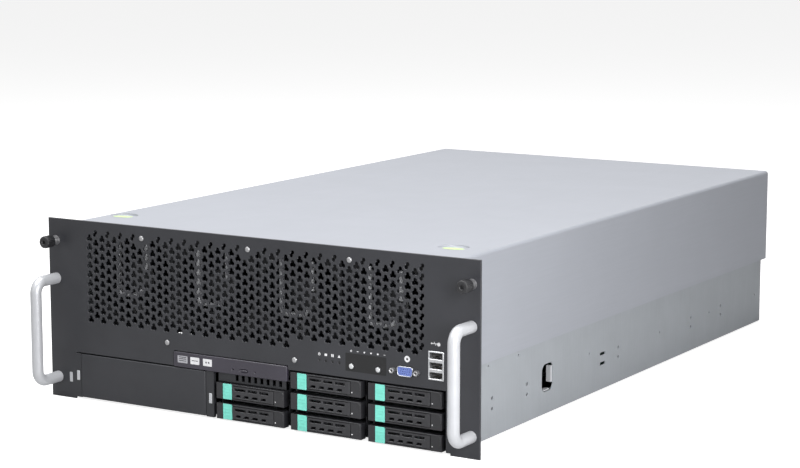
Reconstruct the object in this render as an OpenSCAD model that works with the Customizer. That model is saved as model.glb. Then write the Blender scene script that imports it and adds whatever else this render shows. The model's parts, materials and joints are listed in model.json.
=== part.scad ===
/* [Front panel] */
// How far each ear stands out from the body's side
ear_w = 25.8; // [22:0.1:30]
// Height of the ears, four rack units less their gap
panel_h = 177; // [174:0.5:190]
// Thickness of the panel sheet
panel_t = 2; // [1.5:0.1:3]
// Distance from an ear's outer edge to its rack holes
rack_hole_edge = 8.75; // [7:0.05:11]
// Height of the rack holes below the top of the ears
rack_hole_drop = 21.8; // [18:0.1:26]

/* [Chassis] */
// Width over the skirts of the cover
body_w = 431; // [424:1:436]
// Height from the underside of the floor to the top of the cover
body_h = 172.4; // [170:0.5:185]
// Depth of the floor behind the panel
body_d = 707; // [680:1:760]
// Height of the floor's underside above the foot of the ears
base_lift = 2; // [1:0.1:4]
// Thickness of the chassis sheet
wall_t = 1.2; // [0.8:0.1:1.6]
// Thickness of the cover sheet
cover_t = 1.2; // [0.8:0.1:1.6]
// Gap between the cover and what it slides over
cover_fit = 0.4; // [0.3:0.05:0.8]
// How far the cover stands out behind the rear wall
cover_overhang = 11; // [4:0.5:20]
// Height of the cover's side skirts
skirt_h = 101.4; // [60:0.5:120]
// Outside radius of the cover's bends
cover_bend_r = 3.5; // [1.8:0.1:5]
// Diameter of the thumb recesses in the cover
dimple_d = 29; // [24:1:34]
// Depth of the thumb recesses at their rear wall
dimple_depth = 2.4; // [1.5:0.1:4]
// How far the thumb recesses lie behind the panel's face
dimple_y = 61; // [40:1:90]

/* [Vent] */
// Distance between the columns of vent holes
vent_pitch_x = 7.62; // [7.2:0.02:9]
// Distance between the vent holes of one column
vent_pitch_z = 8.85; // [8.2:0.05:10]
// Radius of a vent hole
vent_hole_r = 2.9; // [2:0.1:3.2]
// Rows of vent holes
vent_rows = 10; // [6:1:10]
// Height of the vent plate's lower edge
vent_z = 75.5; // [75:0.5:80]
// Height of the vent plate
vent_h = 94.5; // [92:0.5:97]
// Distance from the vent plate to the body's left side
vent_left = 18.5; // [16:0.5:30]
// Distance from the vent plate to the body's right side
vent_right = 26.5; // [26:0.5:34]

/* [Handles] */
// Diameter of the handle bar
handle_d = 11; // [8:0.5:14]
// Distance between the two feet of a handle
handle_span = 98; // [80:1:110]
// Height of the lower foot
handle_z = 19.8; // [15:0.1:30]
// Distance from the panel to the middle of the grip
handle_reach = 31; // [26:0.5:45]
// Bend radius at the middle of the bar
handle_bend = 11; // [9:0.5:16]
// Radius of the threads that the handle screws hold
handle_screw_r = 2.4; // [2:0.1:3]
// Length of thread inside the handle's foot
handle_screw_l = 9; // [6:0.5:12]

/* [Thumbscrews] */
// Radius of the thread
thread_r = 3; // [2.5:0.1:3.4]
// Length of thread behind the panel
thread_out = 10; // [6:0.5:16]
// How much thinner than the thread the neck in the collar is
neck_step = 0.3; // [0.2:0.05:0.5]
// Diameter of the knob
knob_d = 12; // [10:0.5:15]
// Length of the knob
knob_l = 12; // [8:0.5:18]
// Length of the collar between the panel and the knob
collar_l = 6; // [4:0.5:10]
// Number of grooves round the knob
knob_grooves = 24; // [12:1:30]

/* [Drive carriers] */
// Width of a carrier's face
carrier_w = 76.5; // [75:0.1:78]
// Height of a carrier's face
carrier_h = 15.2; // [15:0.1:16]
// Depth of a carrier
carrier_d = 112; // [110:1:130]
// Distance between the columns
col_pitch = 83.9; // [82:0.1:84.5]
// Distance between the rows
row_pitch = 19.4; // [18.8:0.1:19.6]
// Distance from the right column to the body's inner wall
bay_margin = 9.35; // [8:0.05:12]
// How far the carriers stand out of the panel
face_proud = 0.8; // [0:0.1:2]
// Depth of the frame round a carrier's face
face_d = 8; // [7.5:0.1:10]
// Width of the plain end left of the latch
end_w = 7; // [5:0.1:8]
// Thickness of the rim above and below the lever
rim_t = 1.2; // [0.8:0.1:1.6]
// Width of the green latch
latch_w = 10; // [8:0.1:11]
// Travel of the latch
latch_travel = 1.5; // [1:0.1:1.8]
// Thickness of the lever
lever_t = 4.4; // [4:0.1:5]
// Place of the lever's hinge across the face
hinge_x = 62.6; // [61:0.1:64]
// Radius of the lever's hinge pin
pin_r = 1; // [0.8:0.05:1.2]
// Thickness of the tray's floor and rails
tray_t = 1.2; // [0.8:0.1:1.4]
// Distance from the carrier's side to its rail
rail_in = 1.2; // [1:0.1:1.6]
// Width of a disk
disk_w = 69.85; // [69:0.05:70]
// Length of a disk
disk_d = 100.2; // [95:0.1:101]
// Height of a disk
disk_h = 9.5; // [7:0.5:9.5]

/* [Drive cage] */
// Thickness of the cage's side sheets
cage_t = 1; // [0.8:0.1:1.4]
// Thickness of the shelves under the carriers
shelf_t = 0.8; // [0.6:0.1:1]
// Gap on each side of a piece that slides
slide_gap = 0.35; // [0.3:0.05:0.5]
// Height of the slotted band over the left column
band_h = 8.4; // [7:0.1:9]
// Number of slots in the band
band_slots = 8; // [5:1:9]
// Thickness of the circuit boards
board_t = 1.6; // [1.2:0.1:2]
// Depth of the disk connectors
plug_d = 5.5; // [4:0.1:6]

/* [Optical drive] */
// Width of the drive
odd_w = 127.8; // [126:0.1:129]
// Height of the drive
odd_h = 12.7; // [12.5:0.1:13]
// Depth of the drive
odd_d = 127; // [124:1:135]
// Width of the bezel
bezel_w = 129.6; // [129.2:0.1:131]
// Height of the bezel
bezel_h = 14.6; // [14:0.1:15]
// Thickness of the bezel
bezel_t = 3; // [2.4:0.1:3.6]
// Radius of the recess for a disc
disc_r = 60.5; // [60:0.1:61]
// Width of the eject button
eject_w = 9; // [6:0.5:12]

/* [Fans] */
// Outside size of a fan
fan_size = 92; // [88:1:92]
// Depth of a fan
fan_d = 38; // [36:1:40]
// Gap between one fan and the next
fan_space = 3; // [1:0.5:5]
// Gap between the fans and the cover's sheet
fan_head = 4.25; // [2:0.05:6]
// Gap between the sockets at the front and the fans
fan_clear = 0.5; // [0.3:0.1:3]
// Thinnest wall round the air passage of a fan
fan_rim = 2.5; // [2:0.1:4]
// Radius of the rotor's hub
hub_r = 18; // [15:0.5:20]
// Number of blades
blades = 7; // [5:1:9]
// Gap between the blades and the passage
blade_gap = 1; // [0.5:0.1:2]
// Radius of the rotor's shaft
shaft_r = 2; // [1.5:0.1:3]
// Radial gap of a shaft in its bearing
bearing_gap = 0.06; // [0.03:0.01:0.1]

/* [Front controls] */
// Height of the middle of the buttons
button_z = 68.8; // [68.4:0.1:69.4]
// Radius of the buttons
button_r = 2.5; // [2:0.1:2.8]
// Travel of the buttons
button_travel = 1; // [0.6:0.1:1.4]
// Height of the row of lamps
lamp_z = 70.4; // [70:0.1:71]
// Radius of the lamp holes
lamp_r = 1.2; // [0.8:0.1:1.5]
// Distance between the lamps
lamp_pitch = 7.15; // [6.5:0.05:7.5]
// Distance between the screws of the video port
jack_pitch = 25; // [24.5:0.1:25.5]
// Distance between the sockets of the stack
usb_pitch = 8.8; // [8.4:0.1:9]
// Width of a socket
usb_w = 13.1; // [12.8:0.1:13.4]
// Height of a socket
usb_h = 5.7; // [5.4:0.1:6]
// Depth of a socket
usb_d = 13; // [11:0.5:15]

/* [Main board] */
// Width of the main board
mb_w = 330; // [320:1:334]
// Depth of the main board
mb_d = 420; // [416:1:440]
// Height of the main board above the floor
mb_lift = 6.4; // [5:0.1:8]
// Side of a processor's heatsink
sink_w = 76; // [70:1:80]
// Height of a processor's heatsink
sink_h = 64; // [40:1:70]
// Number of fins of a heatsink
sink_fins = 19; // [10:1:24]
// Length of a memory module
dimm_l = 133.35; // [130:0.05:134]
// Height of a memory module
dimm_h = 30; // [25:1:32]
// Distance between memory modules
dimm_pitch = 8.5; // [8:0.1:8.8]

/* [Graphics cards] */
// Number of cards
cards = 4; // [2:1:4]
// Distance between the rear slots
slot_pitch = 20.32; // [20:0.02:20.4]
// Length of a card
card_l = 267; // [240:1:270]
// Height of a card
card_h = 111; // [100:1:114]
// Thickness of a card
card_w = 37; // [34:0.5:38]

/* [Power supplies] */
// Width of a supply
psu_w = 73.5; // [72:0.1:76]
// Height of a supply
psu_h = 40; // [38:0.1:41]
// Length of a supply
psu_d = 185; // [175:1:195]
// Distance of the supplies from the side wall
psu_margin = 6; // [4:0.5:10]
// Reach of the grip of a supply
psu_grip = 24; // [20:0.5:30]
// Travel of the latch of a supply
psu_latch_travel = 2.5; // [1.5:0.1:2.8]

/* [Hidden] */
// Heights and planes that the pieces share
rear_y = panel_t + body_d;
top_z = base_lift + body_h;
floor_z = base_lift + wall_t;
base_w = body_w - 2 * (cover_t + cover_fit);
inner_x = base_w / 2 - wall_t;
wall_top = top_z - cover_t - cover_fit;
side_top = top_z - cover_bend_r;
cover_y = panel_t + cover_fit;
cover_rear = rear_y + cover_overhang;
panel_w = body_w + 2 * ear_w;
ear_x = panel_w / 2 - rack_hole_edge;
screw_z = panel_h - rack_hole_drop;
neck_r = thread_r - neck_step;
collar_r = thread_r + 0.75;
knob_bare = 1.5;
grip_front = handle_reach + handle_d / 2;
psu_proud = 0.5;
rear_most = max(cover_rear, rear_y + psu_proud + psu_grip);
// Everything is drawn from the panel's face and then centred front to back
mid_y = (rear_most - grip_front) / 2;
ear_in = body_w / 2 - 4;
floor_front = 11;
// Gaps between the panel's windows and what shows in them
window_gap = 0.6;
bay_gap = 3.6;
screw_hole_r = 1.7;

// Holes of one side wall: distance behind the panel and height
rail_y = [71.6, 138.7, 333.5, 513, 594];
rail_z = [28, 37.8];
rail_r = 1.8;
rail_slot_y = 292;
rail_slot_w = 12;
rail_slot_h = 3;
extra_holes = [[64, 69], [121, 68.5], [268, 43], [433, 35.5], [562, 35.4], [692, 34.6]];
extra_hole_r = 1.3;
window_y = 168;
window_z = 23;
window_w = 23;
window_h = 27;
window_r = 7;

// Thumb recesses of the cover
dimple_x = [-(inner_x - dimple_d / 2 - cover_t - cover_fit), inner_x - 33.7];

// Vent plate
vent_x0 = -body_w / 2 + vent_left;
vent_x1 = body_w / 2 - vent_right;
vent_mid = (vent_x0 + vent_x1) / 2;
vent_cols = floor((vent_x1 - vent_x0 - 4 * vent_hole_r) / vent_pitch_x) + 1;
vent_first_x = vent_mid - (vent_cols - 1) * vent_pitch_x / 2;
vent_first_z = vent_z + 5.4;
screw_spots_top = [-123, 0, 111];
screw_spots_low = [[-98.1, 68.1], [47.2, 67.5]];
screw_top_z = vent_z + vent_h - 4.6;

// Drive bays: columns from the left, and how many carriers each holds
carrier_spots = [[0, 0], [0, 1], [1, 0], [1, 1], [1, 2], [2, 0], [2, 1], [2, 2]];
bay_right = inner_x - bay_margin;
function col_x(c) = bay_right - carrier_w - (2 - c) * col_pitch;
function row_z(r) = base_lift + r * row_pitch;
tray_z = wall_t + shelf_t + slide_gap;
pocket_d = lever_t + latch_travel + 0.4;
latch_x = end_w + slide_gap;
lever_x = latch_x + latch_w + slide_gap;
lever_z = rim_t + slide_gap;
lever_h = carrier_h - 2 * lever_z;
block_x = hinge_x + lever_t / 2 + slide_gap;
rail_h = carrier_h - tray_z - 1;
// Slots of the lever: two rows, each with its height and where its slots start and end
lever_slots = [
    [7.6, [[2.6, 15.2], [17.6, 28], [30.6, 41]]],
    [1.2, [[3.4, 9.4], [12.6, 18.6], [21.8, 28.8], [32, 38]]]
];
lever_slot_h = 2.4;
cage_y = face_d - face_proud + 1.5;
back_y = carrier_d - face_proud + 2.6;
cage_top = row_z(2) + carrier_h + 1;
band_z = row_z(1) + carrier_h + 0.8;
odd_shelf_z = band_z + band_h;
col_rows = [2, 3, 3];

// Optical drive, set over the left column
odd_x = col_x(1) - 4.9 - odd_w;
odd_z = odd_shelf_z + cage_t + 0.3;
bezel_x = odd_x + odd_w / 2 - bezel_w / 2;
bezel_z = odd_z + odd_h / 2 - bezel_h / 2;
bezel_y = -1;
odd_y = bezel_y + bezel_t + slide_gap;
odd_wall = 1;
odd_clear = 0.6;
eject_x = bezel_x + 81;
eject_z = bezel_z + 4.6;
eject_h = 2.6;

// Blank cover of the spare bay
blank_x0 = -body_w / 2 + 12;
blank_x1 = col_x(0) - 13;
blank_z0 = base_lift + 0.6;
blank_z1 = odd_shelf_z - 0.4;
blank_gap = 0.5;
blank_d = 8;

// Front controls, counted from the right column's end
button_x = [bay_right - 94.3, bay_right - 66.1];
lamp_x = bay_right - 129.1;
vga_x = bay_right - 37.8;
vga_z = 70.5;
vga_w = 16.3;
vga_h = 8.3;
contact_pitch = 2.29;
usb_x = bay_right - 6.5;
usb_z0 = 70.1;
usb_rim = 1.6;
usb_back = 1.5;
usb_top = usb_z0 + 2 * usb_pitch + usb_h / 2;
io_board_z = cage_top + 4.4;
io_board_d = 30;
switch_y = panel_t + 4;

// Fans
fan_pitch = fan_size + fan_space;
fan_bore_r = fan_size / 2 - fan_rim;
fan_y = usb_d + usb_back + fan_clear;
fan_z = top_z - cover_t - fan_head - fan_size / 2;
fan_shelf_z = fan_z - fan_size / 2;
fan_shelf_t = 1.2;
function fan_x(i) = vent_mid + (i - 1.5) * fan_pitch;
strut_t = 3;
blade_angle = 38;
blade_t = 1.6;
blade_w = 30;
bail_w = 33;
bail_bar = 4.5;
bail_y = 9.5;
bail_drop = 18;

// Main board and what stands on it
mb_x1 = inner_x - 2;
mb_x0 = mb_x1 - mb_w;
mb_y1 = rear_y - wall_t - 4;
mb_y0 = mb_y1 - mb_d;
mb_z = floor_z + mb_lift;
mb_top = mb_z + board_t;
post_in = 12;
socket_x = [mb_x0 + 100, mb_x0 + 250];
socket_y = mb_y0 + 8 + dimm_l / 2;
dimm_first = sink_w / 2 + 6;
dimm_t = 3.6;
slot_h = 7;
socket_h = 5;
fin_t = 0.8;
port_spots = [8, 26, 44, 64];
port_w = 14;
port_h = 12;
port_deep = 14;
ports_w = 90;
air_pitch = 9;
air_slot_pitch = 10;

// Graphics cards
card_x1 = inner_x - 8;
card_y1 = rear_y - wall_t - 2;
card_z = mb_top + 9;
plate_h = 120;
mouth_d = 40;
function card_x(i) = card_x1 - (i + 1) * 2 * slot_pitch;

// Power supplies, one above the other at the left
psu_x = -inner_x + psu_margin;
psu_step = psu_h + 4 * slide_gap + wall_t;
function psu_z(i) = floor_z + slide_gap + i * psu_step;
psu_y = rear_y + psu_proud - psu_d;
inlet_w = 24;
inlet_h = 17;
inlet_d = 14;
grip_x = 32.5;
grip_t = 4;
psu_hole_pitch = 5.4;
psu_latch_t = 1.2;

// From the panel's face to the part's own frame
module place() translate([0, -mid_y, 0]) children();

// A block from one corner to the opposite one
module block(a, b) translate(a) cube(b - a);

// A round bar along Y
module bar_y(x, z, r, y0, y1) translate([x, y0, z]) rotate([-90, 0, 0])
    cylinder(r = r, h = y1 - y0, $fn = 48);

// A flat outline drawn in X and Z, with its thickness going back from y0
module sheet_xz(y0, t) translate([0, y0 + t, 0]) rotate([90, 0, 0]) linear_extrude(t) children();

// A rectangle from one corner to the opposite one
module area(a, b) translate(a) square(b - a);

module both_sides() {
    children();
    mirror([1, 0, 0]) children();
}

// ---- Front panel ----

module panel_outline() {
    difference() {
        area([-panel_w / 2, 0], [panel_w / 2, panel_h]);
        area([-ear_in, -1], [ear_in, base_lift]);
        area([col_x(0) - bay_gap, 0], [bay_right + bay_gap, cage_top + window_gap]);
        area([blank_x1, 0], [col_x(0), bezel_z]);
        window([bezel_x, bezel_z], [bezel_x + bezel_w, bezel_z + bezel_h], window_gap);
        area([blank_x0 - blank_gap, 0], [blank_x1 + blank_gap, blank_z1 + 2 * window_gap]);
        area([vent_x0, vent_z], [vent_x1, vent_z + vent_h]);
        usb_window();
        window([vga_x - vga_w / 2, vga_z - vga_h / 2], [vga_x + vga_w / 2, vga_z + vga_h / 2], window_gap);
        for (s = [-1, 1]) round_hole(vga_x + s * jack_pitch / 2, vga_z, screw_hole_r);
        for (x = button_x) round_hole(x, button_z, button_r + slide_gap);
        for (i = [0 : 3]) round_hole(lamp_x + i * lamp_pitch, lamp_z, lamp_r);
        for (s = [-1, 1]) {
            round_hole(s * ear_x, screw_z, collar_r + 0.05);
            for (z = [handle_z, handle_z + handle_span]) round_hole(s * ear_x, z, handle_screw_r + 0.3);
        }
        for (p = screw_spots_low) round_hole(p[0], p[1], screw_hole_r);
    }
}

module usb_window() window([usb_x - usb_w / 2, usb_z0 - usb_h / 2], [usb_x + usb_w / 2, usb_top], usb_rim);

// A rectangle that is wider than the piece in it by a gap on each side
module window(a, b, gap) area(a - [gap, gap], b + [gap, gap]);

module round_hole(x, z, r) translate([x, z]) circle(r = r, $fn = 32);

module front_panel() color("#26282c") place() sheet_xz(0, panel_t) panel_outline();

// Is a vent hole here clear of the screw heads in the vent plate's top row?
function clear_of_screws(x, z) =
    min([for (s = screw_spots_top) norm([x - vent_mid - s, z - screw_top_z])]) > 2 * vent_hole_r + 1;

module vent_plate() color("#26282c") place() sheet_xz(0, panel_t) difference() {
    area([vent_x0, vent_z], [vent_x1, vent_z + vent_h]);
    for (i = [0 : vent_cols - 1], j = [0 : vent_rows - 1]) {
        x = vent_first_x + i * vent_pitch_x;
        z = vent_first_z + (j + (i % 2) / 2) * vent_pitch_z;
        if (clear_of_screws(x, z)) translate([x, z]) circle(r = vent_hole_r, $fn = 24);
    }
    for (s = screw_spots_top) round_hole(vent_mid + s, screw_top_z, screw_hole_r);
    usb_window();
}

// ---- Fasteners: panel screws, handle screws and the thumbscrews' collars ----

module panel_screw(x, z) {
    bar_y(x, z, 2.6, -1.4, 0);
    bar_y(x, z, 1.6, -0.7, panel_t + 3);
}

module handle_screw(x, z) {
    bar_y(x, z, 4.2, panel_t, panel_t + 2.8);
    bar_y(x, z, handle_screw_r - 0.05, -handle_screw_l, panel_t + 1);
}

module collar(x) difference() {
    union() {
        bar_y(x, screw_z, 4.6, -collar_l + slide_gap, 0);
        bar_y(x, screw_z, collar_r, -1, panel_t);
    }
    bar_y(x, screw_z, neck_r + bearing_gap, -collar_l - 1, panel_t + 1);
}

module fasteners() color("silver") place() {
    for (s = screw_spots_top) panel_screw(vent_mid + s, screw_top_z);
    for (p = screw_spots_low) panel_screw(p[0], p[1]);
    for (s = [-1, 1]) {
        collar(s * ear_x);
        for (z = [handle_z, handle_z + handle_span]) handle_screw(s * ear_x, z);
    }
}

// ---- Handles and thumbscrews ----

module handle(x) color("#e8eaec") place() difference() {
    r = handle_d / 2;
    top = handle_z + handle_span;
    bend_y = handle_bend - handle_reach;
    union() {
        for (z = [handle_z, top]) bar_y(x, z, r, bend_y, 0);
        translate([x, -handle_reach, handle_z + handle_bend])
            cylinder(r = r, h = handle_span - 2 * handle_bend, $fn = 48);
        handle_elbow([x, bend_y, handle_z + handle_bend], -90);
        handle_elbow([x, bend_y, top - handle_bend], 180);
    }
    for (z = [handle_z, top]) bar_y(x, z, handle_screw_r, -handle_screw_l - 3, 1);
}

// A quarter turn of the handle's bar about a point, from a starting angle
module handle_elbow(centre, from) translate(centre) rotate([0, 90, 0]) rotate([0, 0, from])
    rotate_extrude(angle = 90, $fn = 64) translate([handle_bend, 0]) circle(d = handle_d, $fn = 48);

module thumbscrew(x) color("#1c1d20") place() {
    groove = 0.7;
    knob_y = -collar_l - knob_l;
    difference() {
        bar_y(x, screw_z, knob_d / 2, knob_y, -collar_l);
        for (i = [0 : knob_grooves - 1]) translate([x, 0, screw_z]) rotate([0, i * 360 / knob_grooves, 0])
            translate([knob_d / 2, 0, 0]) rotate([0, 45, 0])
                translate([-groove / 2, knob_y + knob_bare, -groove / 2])
                    cube([groove, knob_l - 2 * knob_bare, groove]);
    }
    bar_y(x, screw_z, neck_r, -collar_l - 1, panel_t + 1);
    bar_y(x, screw_z, thread_r, panel_t + 0.6, panel_t + thread_out);
}

// ---- Chassis ----

// A bar along X that cuts through a side wall
module wall_hole(y, z, r) translate([inner_x - 1, y, z]) rotate([0, 90, 0])
    cylinder(r = r, h = wall_t + 2, $fn = 32);

// A box that cuts through a side wall
module wall_slot(y, z, w, h) translate([inner_x - 1, y, z]) cube([wall_t + 2, w, h]);

module wall_cuts() {
    for (y = rail_y, z = rail_z) wall_hole(y, z, rail_r);
    for (p = extra_holes) wall_hole(p[0], p[1], extra_hole_r);
    for (z = rail_z) wall_slot(rail_slot_y, z - rail_slot_h / 2, rail_slot_w, rail_slot_h);
    // Tall window with round corners
    wall_slot(window_y + window_r, window_z, window_w - 2 * window_r, window_h);
    wall_slot(window_y, window_z + window_r, window_w, window_h - 2 * window_r);
    for (y = [window_r, window_w - window_r], z = [window_r, window_h - window_r])
        wall_hole(window_y + y, window_z + z, window_r);
}

module base_pan() color("#b9bec6") place() {
    difference() {
        union() {
            block([-base_w / 2, floor_front, base_lift], [base_w / 2, rear_y, floor_z]);
            both_sides() block([inner_x, panel_t, base_lift], [base_w / 2, rear_y, side_top]);
        }
        both_sides() wall_cuts();
    }
    // Posts under the main board, set in from its edges
    for (x = [mb_x0 + post_in, (mb_x0 + mb_x1) / 2, mb_x1 - post_in],
         y = [mb_y0 + post_in, (mb_y0 + mb_y1) / 2, mb_y1 - post_in])
        translate([x, y, floor_z - 0.5]) cylinder(r = 3, h = mb_lift + 0.5, $fn = 32);
    // Bay of the power supplies: its side wall and a shelf for the upper one
    psu_wall = psu_x + psu_w + 2 * slide_gap;
    bay_y = psu_y - 20;
    bay_rear = rear_y - wall_t;
    shelf_top = psu_z(1) - slide_gap;
    block([psu_wall, bay_y, floor_z - 0.1], [psu_wall + wall_t, bay_rear, psu_z(1) + psu_h]);
    block([-inner_x, bay_y, shelf_top - wall_t], [psu_wall + wall_t / 2, bay_rear, shelf_top]);
}

module rear_panel() color("#b9bec6") place() sheet_xz(rear_y - wall_t, wall_t) difference() {
    area([-inner_x, floor_z], [inner_x, wall_top]);
    psu_top = psu_z(1) + psu_h;
    area([psu_x - slide_gap, floor_z - 1], [psu_x + psu_w + slide_gap, psu_top + slide_gap]);
    area([mb_x0 + 4, mb_top - 1], [mb_x0 + 4 + ports_w, mb_top + port_h + 3]);
    for (i = [0 : cards - 1])
        area([card_x(i) + 2.5, mb_top], [card_x(i) + 2 * slot_pitch - 2.5, card_z + card_h - 6]);
    // Round air holes over the ports
    for (i = [0 : 9], j = [0 : 5])
        round_hole(mb_x0 + 8 + i * air_pitch, mb_top + 40 + j * air_pitch, air_pitch / 3);
    // Air slots over the power supplies
    for (i = [0 : 6])
        area([psu_x + 4 + i * air_slot_pitch, psu_top + 12], [psu_x + 9 + i * air_slot_pitch, wall_top - 20]);
}

module rounded_arch(w, z0, z1, r) {
    area([-w / 2, z0], [w / 2, z1 - r]);
    area([-w / 2 + r, z0], [w / 2 - r, z1]);
    for (s = [-1, 1]) translate([s * (w / 2 - r), z1 - r]) circle(r = r, $fn = 48);
}

module top_cover() color("#cdd1d8") place() difference() {
    union() {
        sheet_xz(cover_y, cover_rear - cover_y) difference() {
            rounded_arch(body_w, top_z - skirt_h, top_z, cover_bend_r);
            rounded_arch(body_w - 2 * cover_t, top_z - skirt_h - 1, top_z - cover_t, cover_bend_r - cover_t);
        }
        for (x = dimple_x) translate([x, dimple_y, top_z - dimple_depth - cover_t])
            cylinder(d = dimple_d + 2 * cover_t, h = dimple_depth + cover_t / 2, $fn = 64);
    }
    // The recess's floor slopes down to a wall at its rear
    for (x = dimple_x) intersection() {
        translate([x, dimple_y, top_z - dimple_depth]) cylinder(d = dimple_d, h = dimple_depth + 1, $fn = 64);
        translate([x, dimple_y - dimple_d / 2, top_z]) rotate([-atan(dimple_depth / dimple_d), 0, 0])
            translate([-dimple_d, 0, 0]) cube([2 * dimple_d, 2 * dimple_d, 4 * dimple_depth]);
    }
}

// ---- Drive bays ----

// Moves children to the carrier of this number, counted from 1
module at_carrier(n) {
    spot = carrier_spots[n - 1];
    place() translate([col_x(spot[0]), -face_proud, row_z(spot[1])]) children();
}

module carrier(n) at_carrier(n) {
    color("#2a2b2f") union() {
        rail_top = tray_z + rail_h;
        difference() {
            block([0, 0, 0], [carrier_w, face_d, carrier_h]);
            // Room for the latch over the full height, and for the lever between the rims
            block([end_w, -1, -1], [lever_x, pocket_d, carrier_h + 1]);
            block([end_w, -1, rim_t], [block_x, face_d + 1, carrier_h - rim_t]);
        }
        translate([hinge_x, lever_t / 2, 0.2]) cylinder(r = pin_r, h = carrier_h - 0.4, $fn = 32);
        block([rail_in, face_d - 1, tray_z], [carrier_w - rail_in, carrier_d, tray_z + tray_t]);
        for (x = [rail_in, carrier_w - rail_in - tray_t])
            block([x, face_d - 1, tray_z], [x + tray_t, carrier_d, rail_top]);
    }
    // The disk stands clear of the tray, held by its side screws
    color("#9a9da2") translate([(carrier_w - disk_w) / 2, face_d + 0.5, tray_z + tray_t + 0.2])
        cube([disk_w, disk_d, disk_h]);
}

module lever(n) color("#303136") at_carrier(n) difference() {
    union() {
        block([lever_x, 0, lever_z], [hinge_x, lever_t, lever_z + lever_h]);
        translate([hinge_x, lever_t / 2, lever_z]) cylinder(r = lever_t / 2, h = lever_h, $fn = 48);
    }
    translate([hinge_x, lever_t / 2, 0]) cylinder(r = pin_r + bearing_gap, h = carrier_h, $fn = 32);
    for (row = lever_slots, slot = row[1]) {
        z = lever_z + row[0];
        block([lever_x + slot[0], -1, z], [lever_x + slot[1], lever_t + 1, z + lever_slot_h]);
    }
}

module latch(n) color("#7fe3d0") at_carrier(n) difference() {
    block([latch_x, 0, 0.2], [latch_x + latch_w, lever_t, carrier_h - 0.2]);
    // Finger grooves
    for (i = [-1 : 1]) {
        z = carrier_h / 2 + i * 3;
        block([latch_x + 1, -1, z - 0.4], [latch_x + latch_w - 1, 0.5, z + 0.4]);
    }
}

module drive_cage() color("#6d7178") place() {
    gap = slide_gap + cage_t;
    for (c = [0 : 2]) {
        top = c == 0 ? odd_shelf_z : cage_top;
        x0 = col_x(c) + rail_in - gap;
        x1 = col_x(c) + carrier_w - rail_in + gap;
        for (x = [x0, x1 - cage_t]) block([x, cage_y, floor_z], [x + cage_t, back_y, top + cage_t / 2]);
        for (r = [0 : col_rows[c] - 1]) {
            z = row_z(r) + tray_z - slide_gap;
            block([x0, cage_y, z - shelf_t], [x1, back_y, z]);
        }
    }
    // Top of the middle and right columns, and the plate that carries the optical drive
    right = col_x(2) + carrier_w - rail_in + gap;
    block([col_x(1) + rail_in - gap, cage_y, cage_top], [right, back_y, cage_top + cage_t]);
    block([odd_x - 2, panel_t + 1, odd_shelf_z], [col_x(1) - 2 * slide_gap, back_y, odd_shelf_z + cage_t]);
    block([col_x(1) - 1, cage_y, odd_shelf_z],
        [col_x(1) + rail_in - slide_gap - cage_t / 2, back_y, odd_shelf_z + cage_t]);
    block([odd_x - 2, floor_front, floor_z], [odd_x - 2 + cage_t, back_y, odd_shelf_z + cage_t / 2]);
    // Post between the spare bay and the left column
    block([blank_x1 + blank_gap, 0, base_lift], [col_x(0) - bay_gap, panel_t + 1.5, odd_shelf_z]);
    // Slotted band under the optical drive
    difference() {
        block([col_x(0), panel_t + 1, band_z], [col_x(0) + carrier_w, panel_t + 2, odd_shelf_z + cage_t / 2]);
        for (i = [0 : band_slots - 1]) {
            x = col_x(0) + 19.5 + i * 7;
            block([x, panel_t, band_z + 2], [x + 3.5, panel_t + 3, odd_shelf_z - 0.8]);
        }
    }
    // Shelf that carries the fans, and the baffle between it and the cage
    fan_rear = fan_y + fan_d;
    block([-inner_x, fan_y - 0.2, fan_shelf_z - fan_shelf_t], [inner_x, fan_rear + 3, fan_shelf_z]);
    block([col_x(1) + rail_in - gap, fan_rear + 2, cage_top],
        [right, fan_rear + 3, fan_shelf_z - fan_shelf_t / 2]);
}

module drive_backplane() color("#1f5a3a") place() {
    block([col_x(0) + 2, back_y, floor_z], [bay_right - 2, back_y + board_t, odd_shelf_z - 1]);
    block([col_x(1) + 2, back_y, floor_z], [bay_right - 2, back_y + board_t, cage_top - 1]);
    for (s = carrier_spots) translate([col_x(s[0]) + 8, back_y - plug_d, row_z(s[1]) + tray_z + tray_t + 1.4])
        cube([34, plug_d + 0.5, 5]);
}

module bay_cover() color("#2b2d31") place() difference() {
    block([blank_x0, -face_proud, blank_z0], [blank_x1, blank_d, blank_z1]);
    block([blank_x0 + 2, 1.6, blank_z0 + 2], [blank_x1 - 2, blank_d + 1, blank_z1 - 2]);
}

// ---- Optical drive ----

module optical_drive() color("#aeb2b8") place() difference() {
    rear = odd_y + odd_d;
    top = odd_z + odd_h;
    block([odd_x, odd_y, odd_shelf_z + cage_t], [odd_x + odd_w, rear, top]);
    block([odd_x + odd_wall, odd_y - 1, odd_z + odd_wall],
        [odd_x + odd_w - odd_wall, rear - odd_wall, top - odd_wall]);
}

module disc_tray() color("#2a2b2e") place() difference() {
    x0 = odd_x + odd_wall + odd_clear;
    x1 = odd_x + odd_w - odd_wall - odd_clear;
    z0 = odd_z + odd_wall + odd_clear;
    y0 = bezel_y + bezel_t;
    top = z0 + 7;
    mid = [(x0 + x1) / 2, y0 + disc_r + 1.2];
    union() {
        difference() {
            block([x0, y0, z0], [x1, y0 + 2 * disc_r + 2.4, top]);
            translate([mid[0], mid[1], top - 3.5]) cylinder(r = disc_r, h = 5, $fn = 96);
        }
        translate([mid[0], mid[1], top - 4]) cylinder(r = 7.4, h = 3, $fn = 48);
    }
    // Room behind the bezel for the eject button
    block([eject_x - eject_w / 2 - 1, y0 - 1, eject_z - 2.4],
        [eject_x + eject_w / 2 + 1, y0 + 1.5, eject_z + 2.4]);
}

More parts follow.
